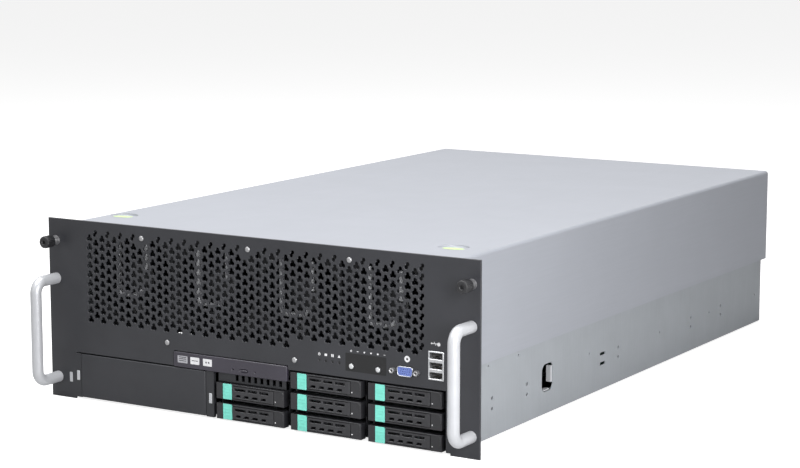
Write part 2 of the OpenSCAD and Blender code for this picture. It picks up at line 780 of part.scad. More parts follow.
module disc_bezel() color("#35333a") place() difference() {
    block([bezel_x, bezel_y, bezel_z], [bezel_x + bezel_w, bezel_y + bezel_t, bezel_z + bezel_h]);
    back = bezel_y + bezel_t;
    block([eject_x - eject_w / 2, bezel_y - 1, eject_z - eject_h / 2],
        [eject_x + eject_w / 2, back + 1, eject_z + eject_h / 2]);
    // Pinhole for the emergency release
    bar_y(eject_x + 13, eject_z, 0.6, bezel_y - 1, back + 1);
}

module eject_button() color("#3a3840") place() {
    block([eject_x - eject_w / 2 + slide_gap, bezel_y - 0.4, eject_z - eject_h / 2 + slide_gap],
        [eject_x + eject_w / 2 - slide_gap, bezel_y + bezel_t - 0.2, eject_z + eject_h / 2 - slide_gap]);
}

// ---- Fans ----

module fan_frame(x) difference() {
    half = fan_size / 2;
    rear = fan_y + fan_d;
    union() {
        difference() {
            block([x - half, fan_y, fan_z - half], [x + half, rear, fan_z + half]);
            bar_y(x, fan_z, fan_bore_r, fan_y - 1, rear + 1);
        }
        bar_y(x, fan_z, hub_r, rear - strut_t, rear);
        for (a = [0 : 90 : 270]) translate([x, rear - strut_t, fan_z]) rotate([0, a, 0])
            translate([hub_r - 2, 0, -2]) cube([fan_bore_r - hub_r + 3, strut_t, 4]);
    }
    bar_y(x, fan_z, shaft_r + bearing_gap, fan_y, rear + 1);
    // Mounting holes in the corners
    corner = half - 4.75;
    for (sx = [-corner, corner], sz = [-corner, corner]) bar_y(x + sx, fan_z + sz, 2.15, fan_y - 1, rear + 1);
}

module fan_frames() color("#222326") place() for (i = [0 : 3]) fan_frame(fan_x(i));

// Bright spring bails on the faces of the fans, for pulling a fan out
module fan_bails() color("#dfe2e6") place() for (i = [0 : 3]) {
    x = fan_x(i);
    low = fan_z - bail_drop;
    for (side = [x - bail_w / 2, x + bail_w / 2])
        block([side - bail_bar / 2, bail_y, low], [side + bail_bar / 2, fan_y, fan_z + fan_size / 2 - 1]);
    block([x - bail_w / 2, bail_y, low], [x + bail_w / 2, fan_y, low + bail_bar]);
}

module fan_rotor(n) color("#303236") place() translate([fan_x(n - 1), fan_y, fan_z]) {
    rotate([-90, 0, 0]) {
        translate([0, 0, 4]) cylinder(r = hub_r, h = fan_d - strut_t - 4.6, $fn = 64);
        translate([0, 0, fan_d / 2]) cylinder(r = shaft_r, h = fan_d / 2 - 0.4, $fn = 32);
        intersection() {
            translate([0, 0, 3]) cylinder(r = fan_bore_r - blade_gap, h = fan_d - strut_t - 4, $fn = 96);
            for (k = [0 : blades - 1]) rotate([0, 0, k * 360 / blades])
                translate([hub_r - 1.5, 0, fan_d / 2 - 1]) rotate([blade_angle, 0, 0])
                    translate([0, -blade_t / 2, -blade_w / 2]) cube([fan_bore_r, blade_t, blade_w]);
        }
    }
}

// ---- Front controls ----

module front_board() color("#1f5a3a") place() {
    io_right = usb_x + usb_w / 2 + usb_rim;
    block([lamp_x - 6, panel_t + 1, io_board_z], [io_right, panel_t + io_board_d, io_board_z + board_t]);
    // Posts down to the drive cage
    for (x = [lamp_x, usb_x])
        block([x - 3, cage_y + 2, cage_top + cage_t], [x + 3, cage_y + 8, io_board_z + board_t / 2]);
    // Lamps behind their holes
    for (i = [0 : 3]) {
        x = lamp_x + i * lamp_pitch;
        block([x - 1.6, panel_t + 1, io_board_z], [x + 1.6, panel_t + 4, lamp_z + 1.6]);
        bar_y(x, lamp_z, lamp_r - 0.1, 0.3, panel_t + 1.5);
    }
    // Switches behind the buttons
    for (x = button_x) block([x - 3, switch_y, io_board_z], [x + 3, switch_y + 5, button_z + 2.6]);
}

module push_button(x) color("#d9dbde") place() {
    bar_y(x, button_z, button_r, -1.8, panel_t + 0.2);
    bar_y(x, button_z, 1.4, panel_t, switch_y - button_travel - slide_gap);
    bar_y(x, button_z, button_r + 0.9, panel_t + slide_gap, panel_t + slide_gap + 0.8);
}

module video_port() place() {
    x0 = vga_x - vga_w / 2;
    x1 = vga_x + vga_w / 2;
    z0 = vga_z - vga_h / 2;
    z1 = vga_z + vga_h / 2;
    rear = panel_t + 9;
    color("#5568b8") difference() {
        block([x0, -1.2, z0], [x1, rear, z1]);
        // Fifteen contact holes in three rows, the outer rows set over by a quarter of a pitch
        for (r = [-1 : 1], k = [-2 : 2])
            bar_y(vga_x + (k + r / 4) * contact_pitch, vga_z + r * 1.98, 0.5, -2, 3);
    }
    color("silver") {
        // Flange behind the panel, and the foot on the board
        block([vga_x - jack_pitch / 2 - 3, panel_t, z0 - 0.2],
            [vga_x + jack_pitch / 2 + 3, panel_t + 1, z1 + 0.2]);
        block([x0, panel_t + 1, io_board_z + board_t], [x1, rear, z0 + 0.1]);
        for (x = [vga_x - jack_pitch / 2, vga_x + jack_pitch / 2]) {
            difference() {
                bar_y(x, vga_z, 2.4, -4.2, 0);
                bar_y(x, vga_z, 1.25, -5, -0.6);
            }
            bar_y(x, vga_z, screw_hole_r - 0.2, -0.6, panel_t + 1);
        }
    }
}

module usb_sockets() color("#8f949b") place() difference() {
    z0 = usb_z0 - usb_h / 2;
    rim = usb_rim - 0.2;
    side = usb_w / 2 + rim;
    rear = usb_d + usb_back;
    union() {
        block([usb_x - side, -0.4, z0 - rim], [usb_x + side, rear, usb_top + rim]);
        block([usb_x - side, panel_t, io_board_z + board_t], [usb_x + side, rear, z0]);
    }
    for (i = [0 : 2]) translate([usb_x - usb_w / 2, -1, z0 + i * usb_pitch])
        cube([usb_w, usb_d + 0.6, usb_h]);
}

// ---- Main board ----

module main_board() color("#1f5a3a") place() {
    block([mb_x0, mb_y0, mb_z], [mb_x1, mb_y1, mb_top]);
    // Sockets of the processors and memory modules
    for (x = socket_x) {
        block([x - 35, socket_y - 35, mb_top - 0.1], [x + 35, socket_y + 35, mb_top + socket_h]);
        for (s = [-1, 1], k = [0 : 3]) {
            sx = x + s * (dimm_first + k * dimm_pitch);
            end = dimm_l / 2 + 4;
            block([sx - 3, socket_y - end, mb_top - 0.1], [sx + 3, socket_y + end, mb_top + slot_h]);
        }
    }
    // Card slots
    for (i = [0 : cards - 1]) {
        sx = card_x(i) + slot_pitch;
        block([sx - 3.5, card_y1 - 150, mb_top - 0.1], [sx + 3.5, card_y1 - 60, card_z]);
    }
    // Rear ports
    for (p = port_spots) difference() {
        block([mb_x0 + p + 2, mb_y1 - 20, mb_top - 0.1], [mb_x0 + p + 2 + port_w, rear_y, mb_top + port_h]);
        block([mb_x0 + p + 4, rear_y - port_deep, mb_top + 2],
            [mb_x0 + p + port_w, rear_y + 1, mb_top + port_h - 2]);
    }
    // Main power plug and chip block
    block([mb_x0 + 10, mb_y0 + 215, mb_top - 0.1], [mb_x0 + 22, mb_y0 + 270, mb_top + 11]);
    block([mb_x0 + 45, mb_y0 + 225, mb_top - 0.1], [mb_x0 + 85, mb_y0 + 265, mb_top + 14]);
}

module heatsinks() color("#b7bcc2") place() for (x = socket_x) {
    half = sink_w / 2;
    foot = mb_top + socket_h;
    step = (sink_w - fin_t) / (sink_fins - 1);
    block([x - half, socket_y - half, foot], [x + half, socket_y + half, foot + 5]);
    for (i = [0 : sink_fins - 1]) translate([x - half + i * step, socket_y - half, foot + 4])
        cube([fin_t, sink_w, sink_h - socket_h - 4]);
}

module memory_modules() color("#2d6b49") place()
    for (x = socket_x, s = [-1, 1], k = [0 : 3]) {
        sx = x + s * (dimm_first + k * dimm_pitch);
        translate([sx - dimm_t / 2, socket_y - dimm_l / 2, mb_top + slot_h]) cube([dimm_t, dimm_l, dimm_h]);
    }

module graphics_cards() color("#3b3e43") place() for (i = [0 : cards - 1]) {
    x = card_x(i) + (2 * slot_pitch - card_w) / 2;
    edge = card_x(i) + slot_pitch;
    front = card_y1 - card_l;
    difference() {
        block([x, front, card_z + 4], [x + card_w, card_y1, card_z + card_h]);
        // Mouth of the air passage
        block([x + 2, front - 1, card_z + 12], [x + card_w - 2, front + mouth_d, card_z + card_h - 6]);
    }
    block([edge - 0.8, card_y1 - 145, card_z], [edge + 0.8, card_y1 - 65, card_z + 5]);
    // Slot plate at the rear
    translate([card_x(i) + 1.2, card_y1 - 0.1, card_z - 6]) cube([2 * slot_pitch - 2.4, 2.1, plate_h]);
}

// ---- Power supplies ----

module power_supply(n) color("#9da1a7") place() translate([psu_x, 0, psu_z(n - 1)]) {
    face = psu_y + psu_d;
    difference() {
        block([0, psu_y, 0], [psu_w, face, psu_h]);
        // Mains inlet
        block([6, face - inlet_d, (psu_h - inlet_h) / 2], [6 + inlet_w, face + 1, (psu_h + inlet_h) / 2]);
        // Air holes of the fan
        for (i = [-2 : 2], j = [-2 : 2])
            bar_y(psu_w - 21 + i * psu_hole_pitch, psu_h / 2 + j * psu_hole_pitch, 2, face - 4, face + 1);
        // Track of the latch
        block([psu_w - psu_latch_travel - 2.1, face - 30, 8], [psu_w + 1, face + 1, psu_h - 8]);
    }
    // Grip
    for (z = [4, psu_h - 4 - grip_t]) translate([grip_x, face - 0.5, z])
        cube([grip_t, psu_grip + 0.5, grip_t]);
    translate([grip_x, face + psu_grip - grip_t, 4]) cube([grip_t, grip_t, psu_h - 8]);
}

module supply_latch(n) color("#3fb59a") place() translate([psu_x, 0, psu_z(n - 1)]) {
    face = psu_y + psu_d;
    x1 = psu_w - slide_gap;
    x0 = x1 - psu_latch_t;
    block([x0, face - 28, 8 + slide_gap], [x1, face + 6, psu_h - 8 - slide_gap]);
    block([x0, face + 5, 12], [x1, face + 12, psu_h - 12]);
}

base_pan();
rear_panel();
top_cover();
front_panel();
vent_plate();
fasteners();
handle(-ear_x);  // handle_left
handle(ear_x);  // handle_right
thumbscrew(-ear_x);  // thumbscrew_left
thumbscrew(ear_x);  // thumbscrew_right
drive_cage();
drive_backplane();
carrier(1);  // carrier_1
carrier(2);  // carrier_2
carrier(3);  // carrier_3
carrier(4);  // carrier_4
carrier(5);  // carrier_5
carrier(6);  // carrier_6
carrier(7);  // carrier_7
carrier(8);  // carrier_8
lever(1);  // lever_1
lever(2);  // lever_2
lever(3);  // lever_3
lever(4);  // lever_4
lever(5);  // lever_5
lever(6);  // lever_6
lever(7);  // lever_7
lever(8);  // lever_8
latch(1);  // latch_1
latch(2);  // latch_2
latch(3);  // latch_3
latch(4);  // latch_4
latch(5);  // latch_5
latch(6);  // latch_6
latch(7);  // latch_7
latch(8);  // latch_8
bay_cover();
optical_drive();
disc_tray();
disc_bezel();
eject_button();
fan_frames();
fan_bails();
fan_rotor(1);  // fan_rotor_1
fan_rotor(2);  // fan_rotor_2
fan_rotor(3);  // fan_rotor_3
fan_rotor(4);  // fan_rotor_4
front_board();
push_button(button_x[0]);  // power_button
push_button(button_x[1]);  // locate_button
video_port();
usb_sockets();
main_board();
heatsinks();
memory_modules();
graphics_cards();
power_supply(1);  // power_supply_1
power_supply(2);  // power_supply_2
supply_latch(1);  // supply_latch_1
supply_latch(2);  // supply_latch_2
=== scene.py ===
# %% [markdown]
# # Dressing a four-unit rack server
#
# The construction model already holds every piece at its real size, but its surfaces are bare. This lesson
# gives each visible piece a finish, and replaces the pieces whose fine shape matters most: the pierced
# front panel, the drive carriers, the grips and the cover. The real machine is bent from thin zinc-coated
# sheet, with a black coated front.
#
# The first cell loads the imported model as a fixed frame. Blender never moves or resizes it. Everything
# below is placed from the boxes of its nodes, so the dressing follows the construction.

# %% Load the frame
import sys
import json
import math

import bmesh
import bpy
import numpy as np
from mathutils.geometry import delaunay_2d_cdt
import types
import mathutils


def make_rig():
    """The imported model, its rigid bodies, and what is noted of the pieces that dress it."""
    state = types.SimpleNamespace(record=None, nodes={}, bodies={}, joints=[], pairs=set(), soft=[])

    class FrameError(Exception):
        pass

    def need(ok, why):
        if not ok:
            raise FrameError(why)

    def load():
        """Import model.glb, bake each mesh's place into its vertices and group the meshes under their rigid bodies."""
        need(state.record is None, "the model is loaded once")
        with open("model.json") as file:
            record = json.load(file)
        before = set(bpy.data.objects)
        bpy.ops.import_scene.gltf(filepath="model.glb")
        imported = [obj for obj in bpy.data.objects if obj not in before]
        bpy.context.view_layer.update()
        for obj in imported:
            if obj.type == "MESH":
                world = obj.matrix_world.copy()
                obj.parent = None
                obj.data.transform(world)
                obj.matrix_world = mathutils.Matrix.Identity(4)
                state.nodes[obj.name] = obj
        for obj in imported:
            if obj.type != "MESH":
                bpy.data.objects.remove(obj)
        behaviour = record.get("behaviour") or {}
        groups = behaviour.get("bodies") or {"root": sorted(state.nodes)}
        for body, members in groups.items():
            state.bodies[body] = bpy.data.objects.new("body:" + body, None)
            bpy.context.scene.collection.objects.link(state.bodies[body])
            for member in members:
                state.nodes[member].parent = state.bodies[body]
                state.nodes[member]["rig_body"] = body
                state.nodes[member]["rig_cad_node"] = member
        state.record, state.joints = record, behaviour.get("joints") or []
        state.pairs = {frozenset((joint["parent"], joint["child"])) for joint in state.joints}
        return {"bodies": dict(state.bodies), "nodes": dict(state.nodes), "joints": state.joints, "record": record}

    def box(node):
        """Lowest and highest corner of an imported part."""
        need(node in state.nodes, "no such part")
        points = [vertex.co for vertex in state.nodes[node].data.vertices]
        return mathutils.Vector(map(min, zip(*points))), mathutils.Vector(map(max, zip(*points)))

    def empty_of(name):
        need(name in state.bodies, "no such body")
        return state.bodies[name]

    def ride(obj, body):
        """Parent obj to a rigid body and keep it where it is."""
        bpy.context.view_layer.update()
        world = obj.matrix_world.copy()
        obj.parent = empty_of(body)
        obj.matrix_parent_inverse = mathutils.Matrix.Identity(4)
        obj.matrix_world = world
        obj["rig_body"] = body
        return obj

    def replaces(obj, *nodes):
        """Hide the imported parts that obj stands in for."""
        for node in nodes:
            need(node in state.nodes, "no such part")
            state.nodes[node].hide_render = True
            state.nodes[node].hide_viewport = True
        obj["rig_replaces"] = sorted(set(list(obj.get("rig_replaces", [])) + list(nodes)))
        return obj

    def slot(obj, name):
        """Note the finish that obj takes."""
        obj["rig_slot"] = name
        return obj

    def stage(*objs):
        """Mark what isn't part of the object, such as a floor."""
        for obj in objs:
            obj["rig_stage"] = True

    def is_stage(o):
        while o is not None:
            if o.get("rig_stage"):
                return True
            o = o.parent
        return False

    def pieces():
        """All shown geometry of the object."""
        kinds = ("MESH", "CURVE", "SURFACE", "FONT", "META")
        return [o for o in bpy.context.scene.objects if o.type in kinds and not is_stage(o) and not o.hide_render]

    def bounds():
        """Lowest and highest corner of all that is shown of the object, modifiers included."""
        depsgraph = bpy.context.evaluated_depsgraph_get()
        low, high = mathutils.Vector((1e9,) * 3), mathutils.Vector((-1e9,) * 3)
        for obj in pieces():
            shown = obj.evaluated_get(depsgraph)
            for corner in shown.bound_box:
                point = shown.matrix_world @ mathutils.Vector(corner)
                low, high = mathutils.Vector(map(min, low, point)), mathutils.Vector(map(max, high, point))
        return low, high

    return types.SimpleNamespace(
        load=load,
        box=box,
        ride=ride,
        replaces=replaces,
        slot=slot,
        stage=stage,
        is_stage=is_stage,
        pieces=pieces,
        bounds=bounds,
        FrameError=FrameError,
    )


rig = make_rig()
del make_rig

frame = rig.load()
cad_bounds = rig.bounds()
print("bodies:", len(frame["bodies"]), "nodes:", len(frame["nodes"]))

# %% [markdown]
# ## Working in millimetres
#
# Blender counts in metres, but sheet metal is easier to think of in millimetres. So all shapes below are
# worked out in millimetres, in the frame's own directions: x to the right, y to the rear, z up. One
# function turns them into metres when a piece is made. `node_box` asks the frame where a node lies, and
# `FACE` is the plane of the panel's front.

# %% Places from the frame
MM = 0.001


def node_box(node):
    """Lowest and highest corner of a node at rest, in millimetres."""
    low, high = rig.box(node)
    return np.array(low) / MM, np.array(high) / MM


panel_low, panel_high = node_box("front_panel")
FACE = panel_low[1]
panel_back = panel_high[1]
carrier_boxes = [node_box(f"carrier_{n}") for n in range(1, 9)]
bay_right = max(high[0] for low, high in carrier_boxes)
print("panel front at y =", round(FACE, 2), "mm")
print("right end of the drive bays at x =", round(bay_right, 2), "mm")

# %% [markdown]
# ## Shapes as grids of points
#
# Nearly every surface here is a function of two parameters: along a profile and across it, or along a path
# and round it. numpy works out all points of such a grid at once. A shape is a pair of points and faces,
# and `gather` stacks several shapes into one.

# %% Grids, bars and rounds
def grid(points, wrap_u=False, wrap_v=False):
    """Joins an array of points[u, v] into four-sided faces. A wrapped direction closes on itself."""
    nu, nv = points.shape[:2]
    u = np.arange(nu if wrap_u else nu - 1)[:, None]
    v = np.arange(nv if wrap_v else nv - 1)[None, :]
    u_next = (u + 1) % nu
    v_next = (v + 1) % nv
    corners = np.broadcast_arrays(u * nv + v, u_next * nv + v, u_next * nv + v_next, u * nv + v_next)
    return points.reshape(-1, 3), np.stack(corners, -1).reshape(-1, 4).tolist()


def gather(*shapes):
    """One shape from several: each shape's faces count on from the points before them."""
    starts = np.cumsum([0] + [len(points) for points, faces in shapes])
    points = np.concatenate([points for points, faces in shapes])
    faces = [[i + start for i in face] for start, (_, own) in zip(starts, shapes) for face in own]
    return points, faces


def block(low, high):
    """The eight corners of a box, numbered as the bits of x, y and z, and its six faces."""
    bits = (np.arange(8)[:, None] >> np.arange(3)) & 1
    points = np.where(bits, high, low).astype(float)
    faces = [[0, 2, 3, 1], [4, 5, 7, 6], [0, 1, 5, 4], [2, 6, 7, 3], [0, 4, 6, 2], [1, 3, 7, 5]]
    return points, faces


def revolve(profile, centre, turns=48, axis="y", groove=0.0, grooves=1):
    """A profile of (along the axis, radius) turned about an axis through centre.

    Point (i, a) lies at radius[i] times the direction of the angle a. The radius loses up to `groove` where the
    wave cos(grooves times a) is high, which cuts grooves along the axis wherever the radius is largest.
    """
    along, radius = np.asarray(profile, float).T
    angle = np.arange(turns) * 2 * np.pi / turns
    wave = groove * (1 + np.cos(grooves * angle)) / 2
    deep = np.where(radius > radius.max() - 0.01, 1.0, 0.0)
    r = radius[:, None] - deep[:, None] * wave
    points = np.empty((len(along), turns, 3))
    first, second, third = {"y": (0, 2, 1), "x": (1, 2, 0), "z": (0, 1, 2)}[axis]
    points[..., first] = r * np.cos(angle)
    points[..., second] = r * np.sin(angle)
    points[..., third] = along[:, None]
    return grid(points + centre, wrap_v=True)


def sweep(path, radius, across, turns=20):
    """A round bar along a flat path.

    Each point of the path carries a circle: radius times (cos a times the path's side direction plus sin a
    times `across`, the direction square to the path's plane). Both ends are closed by a ring of radius nought.
    """
    path = np.asarray(path, float)
    along = np.gradient(path, axis=0)
    along /= np.linalg.norm(along, axis=1)[:, None]
    across = np.asarray(across, float)
    side = np.cross(along, across)
    angle = np.arange(turns) * 2 * np.pi / turns
    spread = np.full(len(path), float(radius))
    path = np.concatenate([path[:1], path, path[-1:]])
    side = np.concatenate([side[:1], side, side[-1:]])
    spread = np.concatenate([[0], spread, [0]])[:, None, None]
    ring = np.cos(angle)[None, :, None] * side[:, None, :] + np.sin(angle)[None, :, None] * across
    return grid(path[:, None, :] + spread * ring, wrap_v=True)


# %% [markdown]
# ## Outlines and pierced plates
#
# Sheet-metal parts are flat outlines with holes. An outline is a closed row of points. `plate` gives it
# thickness and a small chamfer: the front face is the outline moved a chamfer's width into the metal, then
# comes the slanted edge, then the wall. Both faces are filled by a constrained Delaunay triangulation,
# which copes with hundreds of holes at once.

# %% Outlines
def rectangle(x0, z0, x1, z1, r=0.0, steps=4):
    """A rectangle run anticlockwise, each corner a quarter circle of radius r about a centre set in by r."""
    if r <= 0:
        return np.array([[x0, z0], [x1, z0], [x1, z1], [x0, z1]], float)
    centres = np.array([[x1 - r, z0 + r], [x1 - r, z1 - r], [x0 + r, z1 - r], [x0 + r, z0 + r]])
    angle = np.radians(np.array([-90, 0, 90, 180])[:, None] + np.linspace(0, 90, steps + 1))
    return (centres[:, None] + r * np.stack([np.cos(angle), np.sin(angle)], -1)).reshape(-1, 2)


def circle(x, z, r, steps=24):
    """Points at equal angles round a centre."""
    angle = np.arange(steps) * 2 * np.pi / steps
    return np.stack([x + r * np.cos(angle), z + r * np.sin(angle)], -1)


def lobes(centres, directions, reach, r, steps=24):
    """The outline of round lobes that overlap, for many centres at once.

    Seen from the centre, a circle of radius r whose own centre lies `reach` away in direction d ends at
    reach cos(a - d) + sqrt(r^2 - reach^2 sin^2(a - d)). The outline takes the farthest circle at each angle a.
    """
    angle = np.radians(30) + np.arange(steps) * 2 * np.pi / steps
    turn = angle[:, None] - np.radians(directions)[None, :]
    inside = r**2 - (reach * np.sin(turn)) ** 2
    far = np.where(inside > 0, reach * np.cos(turn) + np.sqrt(np.maximum(inside, 0)), 0).max(1)
    ring = far[:, None] * np.stack([np.cos(angle), np.sin(angle)], -1)
    return np.asarray(centres, float)[:, None, :] + ring


def area_of(outline):
    """Signed area by the shoelace sum: above nought for an anticlockwise outline."""
    x, z = outline.T
    return float(np.sum(x * np.roll(z, -1) - z * np.roll(x, -1)) / 2)


def inset(outline, width):
    """Moves an outline to its left by a width: each corner goes along the mitre of its two edges' normals."""
    edge = np.roll(outline, -1, 0) - outline
    edge /= np.linalg.norm(edge, axis=1)[:, None]
    normal = np.stack([-edge[:, 1], edge[:, 0]], -1)
    before = np.roll(normal, 1, 0)
    return outline + width * (before + normal) / (1 + np.sum(before * normal, 1))[:, None]


# %% Plates
LAYOUTS = {"front": (0, 2, 1, 1), "top": (0, 1, 2, -1), "side": (1, 2, 0, 1)}


def plate(outline, holes=(), near=0.0, far=1.0, chamfer=0.2, layout="front"):
    """A plate with holes, from its near face to its far one, with its near edges chamfered."""
    loops = [outline if area_of(outline) > 0 else outline[::-1]]
    loops += [hole[::-1] if area_of(hole) > 0 else hole for hole in holes]
    inner = np.concatenate([inset(loop, chamfer) for loop in loops])
    outer = np.concatenate(loops)
    first, second, depth, sign = LAYOUTS[layout]
    step = math.copysign(chamfer, far - near)
    levels = [(inner, near), (outer, near + step), (outer, far)]
    points = np.zeros((len(levels), len(outer), 3))
    for row, (flat, level) in zip(points, levels):
        row[:, [first, second]] = flat
        row[:, depth] = level
    starts = np.cumsum([0] + [len(loop) for loop in loops])
    rings = [list(range(a, b)) for a, b in zip(starts, starts[1:])]
    ccw = [ring if k == 0 else ring[::-1] for k, ring in enumerate(rings)]
    found = delaunay_2d_cdt([tuple(p) for p in inner], [], ccw, 1, 1e-7)
    fill = [face for face, origin in zip(found[2], found[5]) if origin == [0]]
    last = (len(levels) - 1) * len(outer)
    faces = fill + [[i + last for i in face[::-1]] for face in fill]
    following = np.concatenate([np.roll(ring, -1) for ring in rings])
    here = np.arange(len(outer))
    for level in range(len(levels) - 1):
        a, b = level * len(outer), (level + 1) * len(outer)
        faces += np.stack([here + a, here + b, following + b, following + a], -1).tolist()
    return points.reshape(-1, 3), faces


# %% [markdown]
# ## Making a piece
#
# `piece` turns a shape into a Blender object in metres, merges doubled points, turns all faces outwards,
# and hangs it on the CAD body that it moves with. A blocky piece can take a small bevel with hardened
# normals, because no real edge is perfectly sharp and a fine edge catches the light. Other pieces are
# shaded smooth up to a stated angle.

# %% Pieces
SMOOTH_BELOW = math.radians(35)
made = []


def piece(name, shape, body, slot, material, stands_for=(), bevel=0.0, segments=2):
    """One finished object from a shape in millimetres, riding on a body and standing for named CAD nodes."""
    points, faces = shape
    mesh = bpy.data.meshes.new(name)
    mesh.from_pydata((points * MM).tolist(), [], faces)
    mesh.validate()
    work = bmesh.new()
    work.from_mesh(mesh)
    bmesh.ops.remove_doubles(work, verts=work.verts, dist=1e-6)
    bmesh.ops.recalc_face_normals(work, faces=work.faces)
    work.to_mesh(mesh)
    work.free()
    mesh.shade_smooth()
    thing = bpy.data.objects.new(name, mesh)
    bpy.context.scene.collection.objects.link(thing)
    mesh.materials.append(material)
    if bevel:
        edge = thing.modifiers.new("edge", "BEVEL")
        edge.width = bevel * MM
        edge.segments = segments
        edge.limit_method = "ANGLE"
        edge.harden_normals = True
    else:
        mesh.set_sharp_from_angle(angle=SMOOTH_BELOW)
    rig.ride(thing, body)
    if stands_for:
        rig.replaces(thing, *stands_for)
    if slot:
        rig.slot(thing, slot)
    made.append(name)
    return thing


# %% [markdown]
# ## Finishes
#
# Each finish starts from a Principled shader. What is the same all over sits on the shader's own sockets.
# What varies is read from the object's own coordinates, which stay fixed to the metal when a piece moves: a
# soft mottle in the colour, a patchy sheen in the roughness, and a fine grain as bump. Rolled sheet also
# gets long streaks along one direction, from a noise that is squeezed across the sheet and stretched along
# it.

# %% One function for all finishes
def finish(
    name, colour, rough, metal=0.0, grain=(0.6, 0.02), mottle=(30, 0.06), streak=None, sheen=0.06, **sockets
):
    """A procedural surface.

    grain is (size, height) of the bump in millimetres, mottle is (size in millimetres, share of the colour),
    streak is (axis, width in millimetres, share of the colour), and sheen is how far the roughness wanders.
    """
    material = bpy.data.materials.new(name)
    material.use_nodes = True
    nodes, links = material.node_tree.nodes, material.node_tree.links
    shader = nodes["Principled BSDF"]
    shader.inputs["Metallic"].default_value = metal
    for socket, value in sockets.items():
        shader.inputs[socket.replace("_", " ")].default_value = value
    place = nodes.new("ShaderNodeTexCoord").outputs["Object"]

    def noise(size, detail=3.0, stretch=(1, 1, 1)):
        mapping = nodes.new("ShaderNodeMapping")
        mapping.inputs["Scale"].default_value = [1 / (size * MM * s) for s in stretch]
        links.new(place, mapping.inputs["Vector"])
        texture = nodes.new("ShaderNodeTexNoise")
        texture.inputs["Scale"].default_value = 1.0
        texture.inputs["Detail"].default_value = detail
        links.new(mapping.outputs["Vector"], texture.inputs["Vector"])
        return texture.outputs["Fac"]

    def wander(value, low, high):
        spread = nodes.new("ShaderNodeMapRange")
        spread.inputs["From Min"].default_value = 0.3
        spread.inputs["From Max"].default_value = 0.7
        spread.inputs["To Min"].default_value = low
        spread.inputs["To Max"].default_value = high
        links.new(value, spread.inputs["Value"])
        return spread.outputs["Result"]

    patches = noise(mottle[0])
    shade = wander(patches, 1 - mottle[1], 1 + mottle[1])
    if streak:
        axis, width, share = streak
        lines = wander(noise(width, 4.0, [40 if a == axis else 1 for a in "xyz"]), 1 - share, 1 + share)
        both = nodes.new("ShaderNodeMath")
        both.operation = "MULTIPLY"
        links.new(shade, both.inputs[0])
        links.new(lines, both.inputs[1])
        shade = both.outputs["Value"]
    tint = nodes.new("ShaderNodeVectorMath")
    tint.operation = "SCALE"
    tint.inputs[0].default_value = colour
    links.new(shade, tint.inputs["Scale"])
    links.new(tint.outputs["Vector"], shader.inputs["Base Color"])
    patchy = wander(noise(mottle[0] / 3), max(rough - sheen, 0.02), rough + sheen)
    links.new(patchy, shader.inputs["Roughness"])
    if grain[1]:
        bump = nodes.new("ShaderNodeBump")
        bump.inputs["Strength"].default_value = 1.0
        bump.inputs["Distance"].default_value = grain[1] * MM
        links.new(noise(grain[0], 2.0), bump.inputs["Height"])
        links.new(bump.outputs["Normal"], shader.inputs["Normal"])
    return material


# %% The finishes of this server
panel_black = finish("panel_black", (0.025, 0.026, 0.031), 0.46, grain=(0.5, 0.02), mottle=(40, 0.1))
ROLLED = (0.8, 0.008)
zinc_sheet = finish("zinc_sheet", (0.335, 0.355, 0.38), 0.55, 0.05, ROLLED, (30, 0.03), ("z", 1.2, 0.03), 0.02)
cover_sheet = finish("cover_sheet", (0.355, 0.37, 0.41), 0.5, 0.1, ROLLED, (60, 0.015), ("y", 1.6, 0.015), 0.01)
screw_zinc = finish("screw_zinc", (0.42, 0.42, 0.43), 0.35, 0.9, (0.4, 0.01), (4, 0.05))
brushed = ("z", 0.6, 0.03)
handle_satin = finish("handle_satin", (0.54, 0.55, 0.575), 0.34, 0.25, (0.35, 0.008), (12, 0.03), brushed)
knob_black = finish("knob_black", (0.014, 0.014, 0.016), 0.38, grain=(0.4, 0.02))
cage_steel = finish("cage_steel", (0.028, 0.029, 0.033), 0.5, 0.2, (0.6, 0.01))
carrier_black = finish("carrier_black", (0.018, 0.018, 0.021), 0.42, grain=(0.3, 0.015), mottle=(10, 0.12))
lever_black = finish("lever_black", (0.026, 0.026, 0.030), 0.36, grain=(0.3, 0.012), mottle=(10, 0.12))
latch_teal = finish("latch_teal", (0.20, 0.72, 0.60), 0.35, grain=(0.4, 0.01), mottle=(6, 0.05))
bezel_dark = finish("bezel_dark", (0.040, 0.036, 0.050), 0.34, grain=(0.35, 0.01), mottle=(18, 0.08))
drive_case = finish("drive_case", (0.52, 0.54, 0.57), 0.34, 0.9, (0.7, 0.008), (20, 0.05), ("x", 0.8, 0.04))
tray_black = finish("tray_black", (0.02, 0.02, 0.023), 0.3, grain=(0.5, 0.01))
fan_black = finish("fan_black", (0.018, 0.019, 0.022), 0.4, grain=(0.5, 0.02))
bail_bright = finish("bail_bright", (0.72, 0.73, 0.76), 0.35, 0.4, (0.5, 0.01), (6, 0.1))
tracks = {"grain": (1.2, 0.03), "mottle": (2.5, 0.35), "Coat_Weight": 0.3}
board_green = finish("board_green", (0.012, 0.10, 0.045), 0.28, **tracks)
button_silver = finish("button_silver", (0.72, 0.73, 0.75), 0.28, 0.9, (0.3, 0.01))
port_blue = finish("port_blue", (0.14, 0.20, 0.52), 0.35, grain=(0.4, 0.01))
port_steel = finish("port_steel", (0.55, 0.56, 0.58), 0.3, 0.8, (0.4, 0.01), (5, 0.08))
fin_aluminium = finish("fin_aluminium", (0.66, 0.68, 0.71), 0.32, 0.95, (0.5, 0.01), streak=("z", 0.5, 0.05))
module_green = finish("module_green", (0.012, 0.11, 0.05), 0.32, grain=(1.2, 0.03), mottle=(2.0, 0.3))
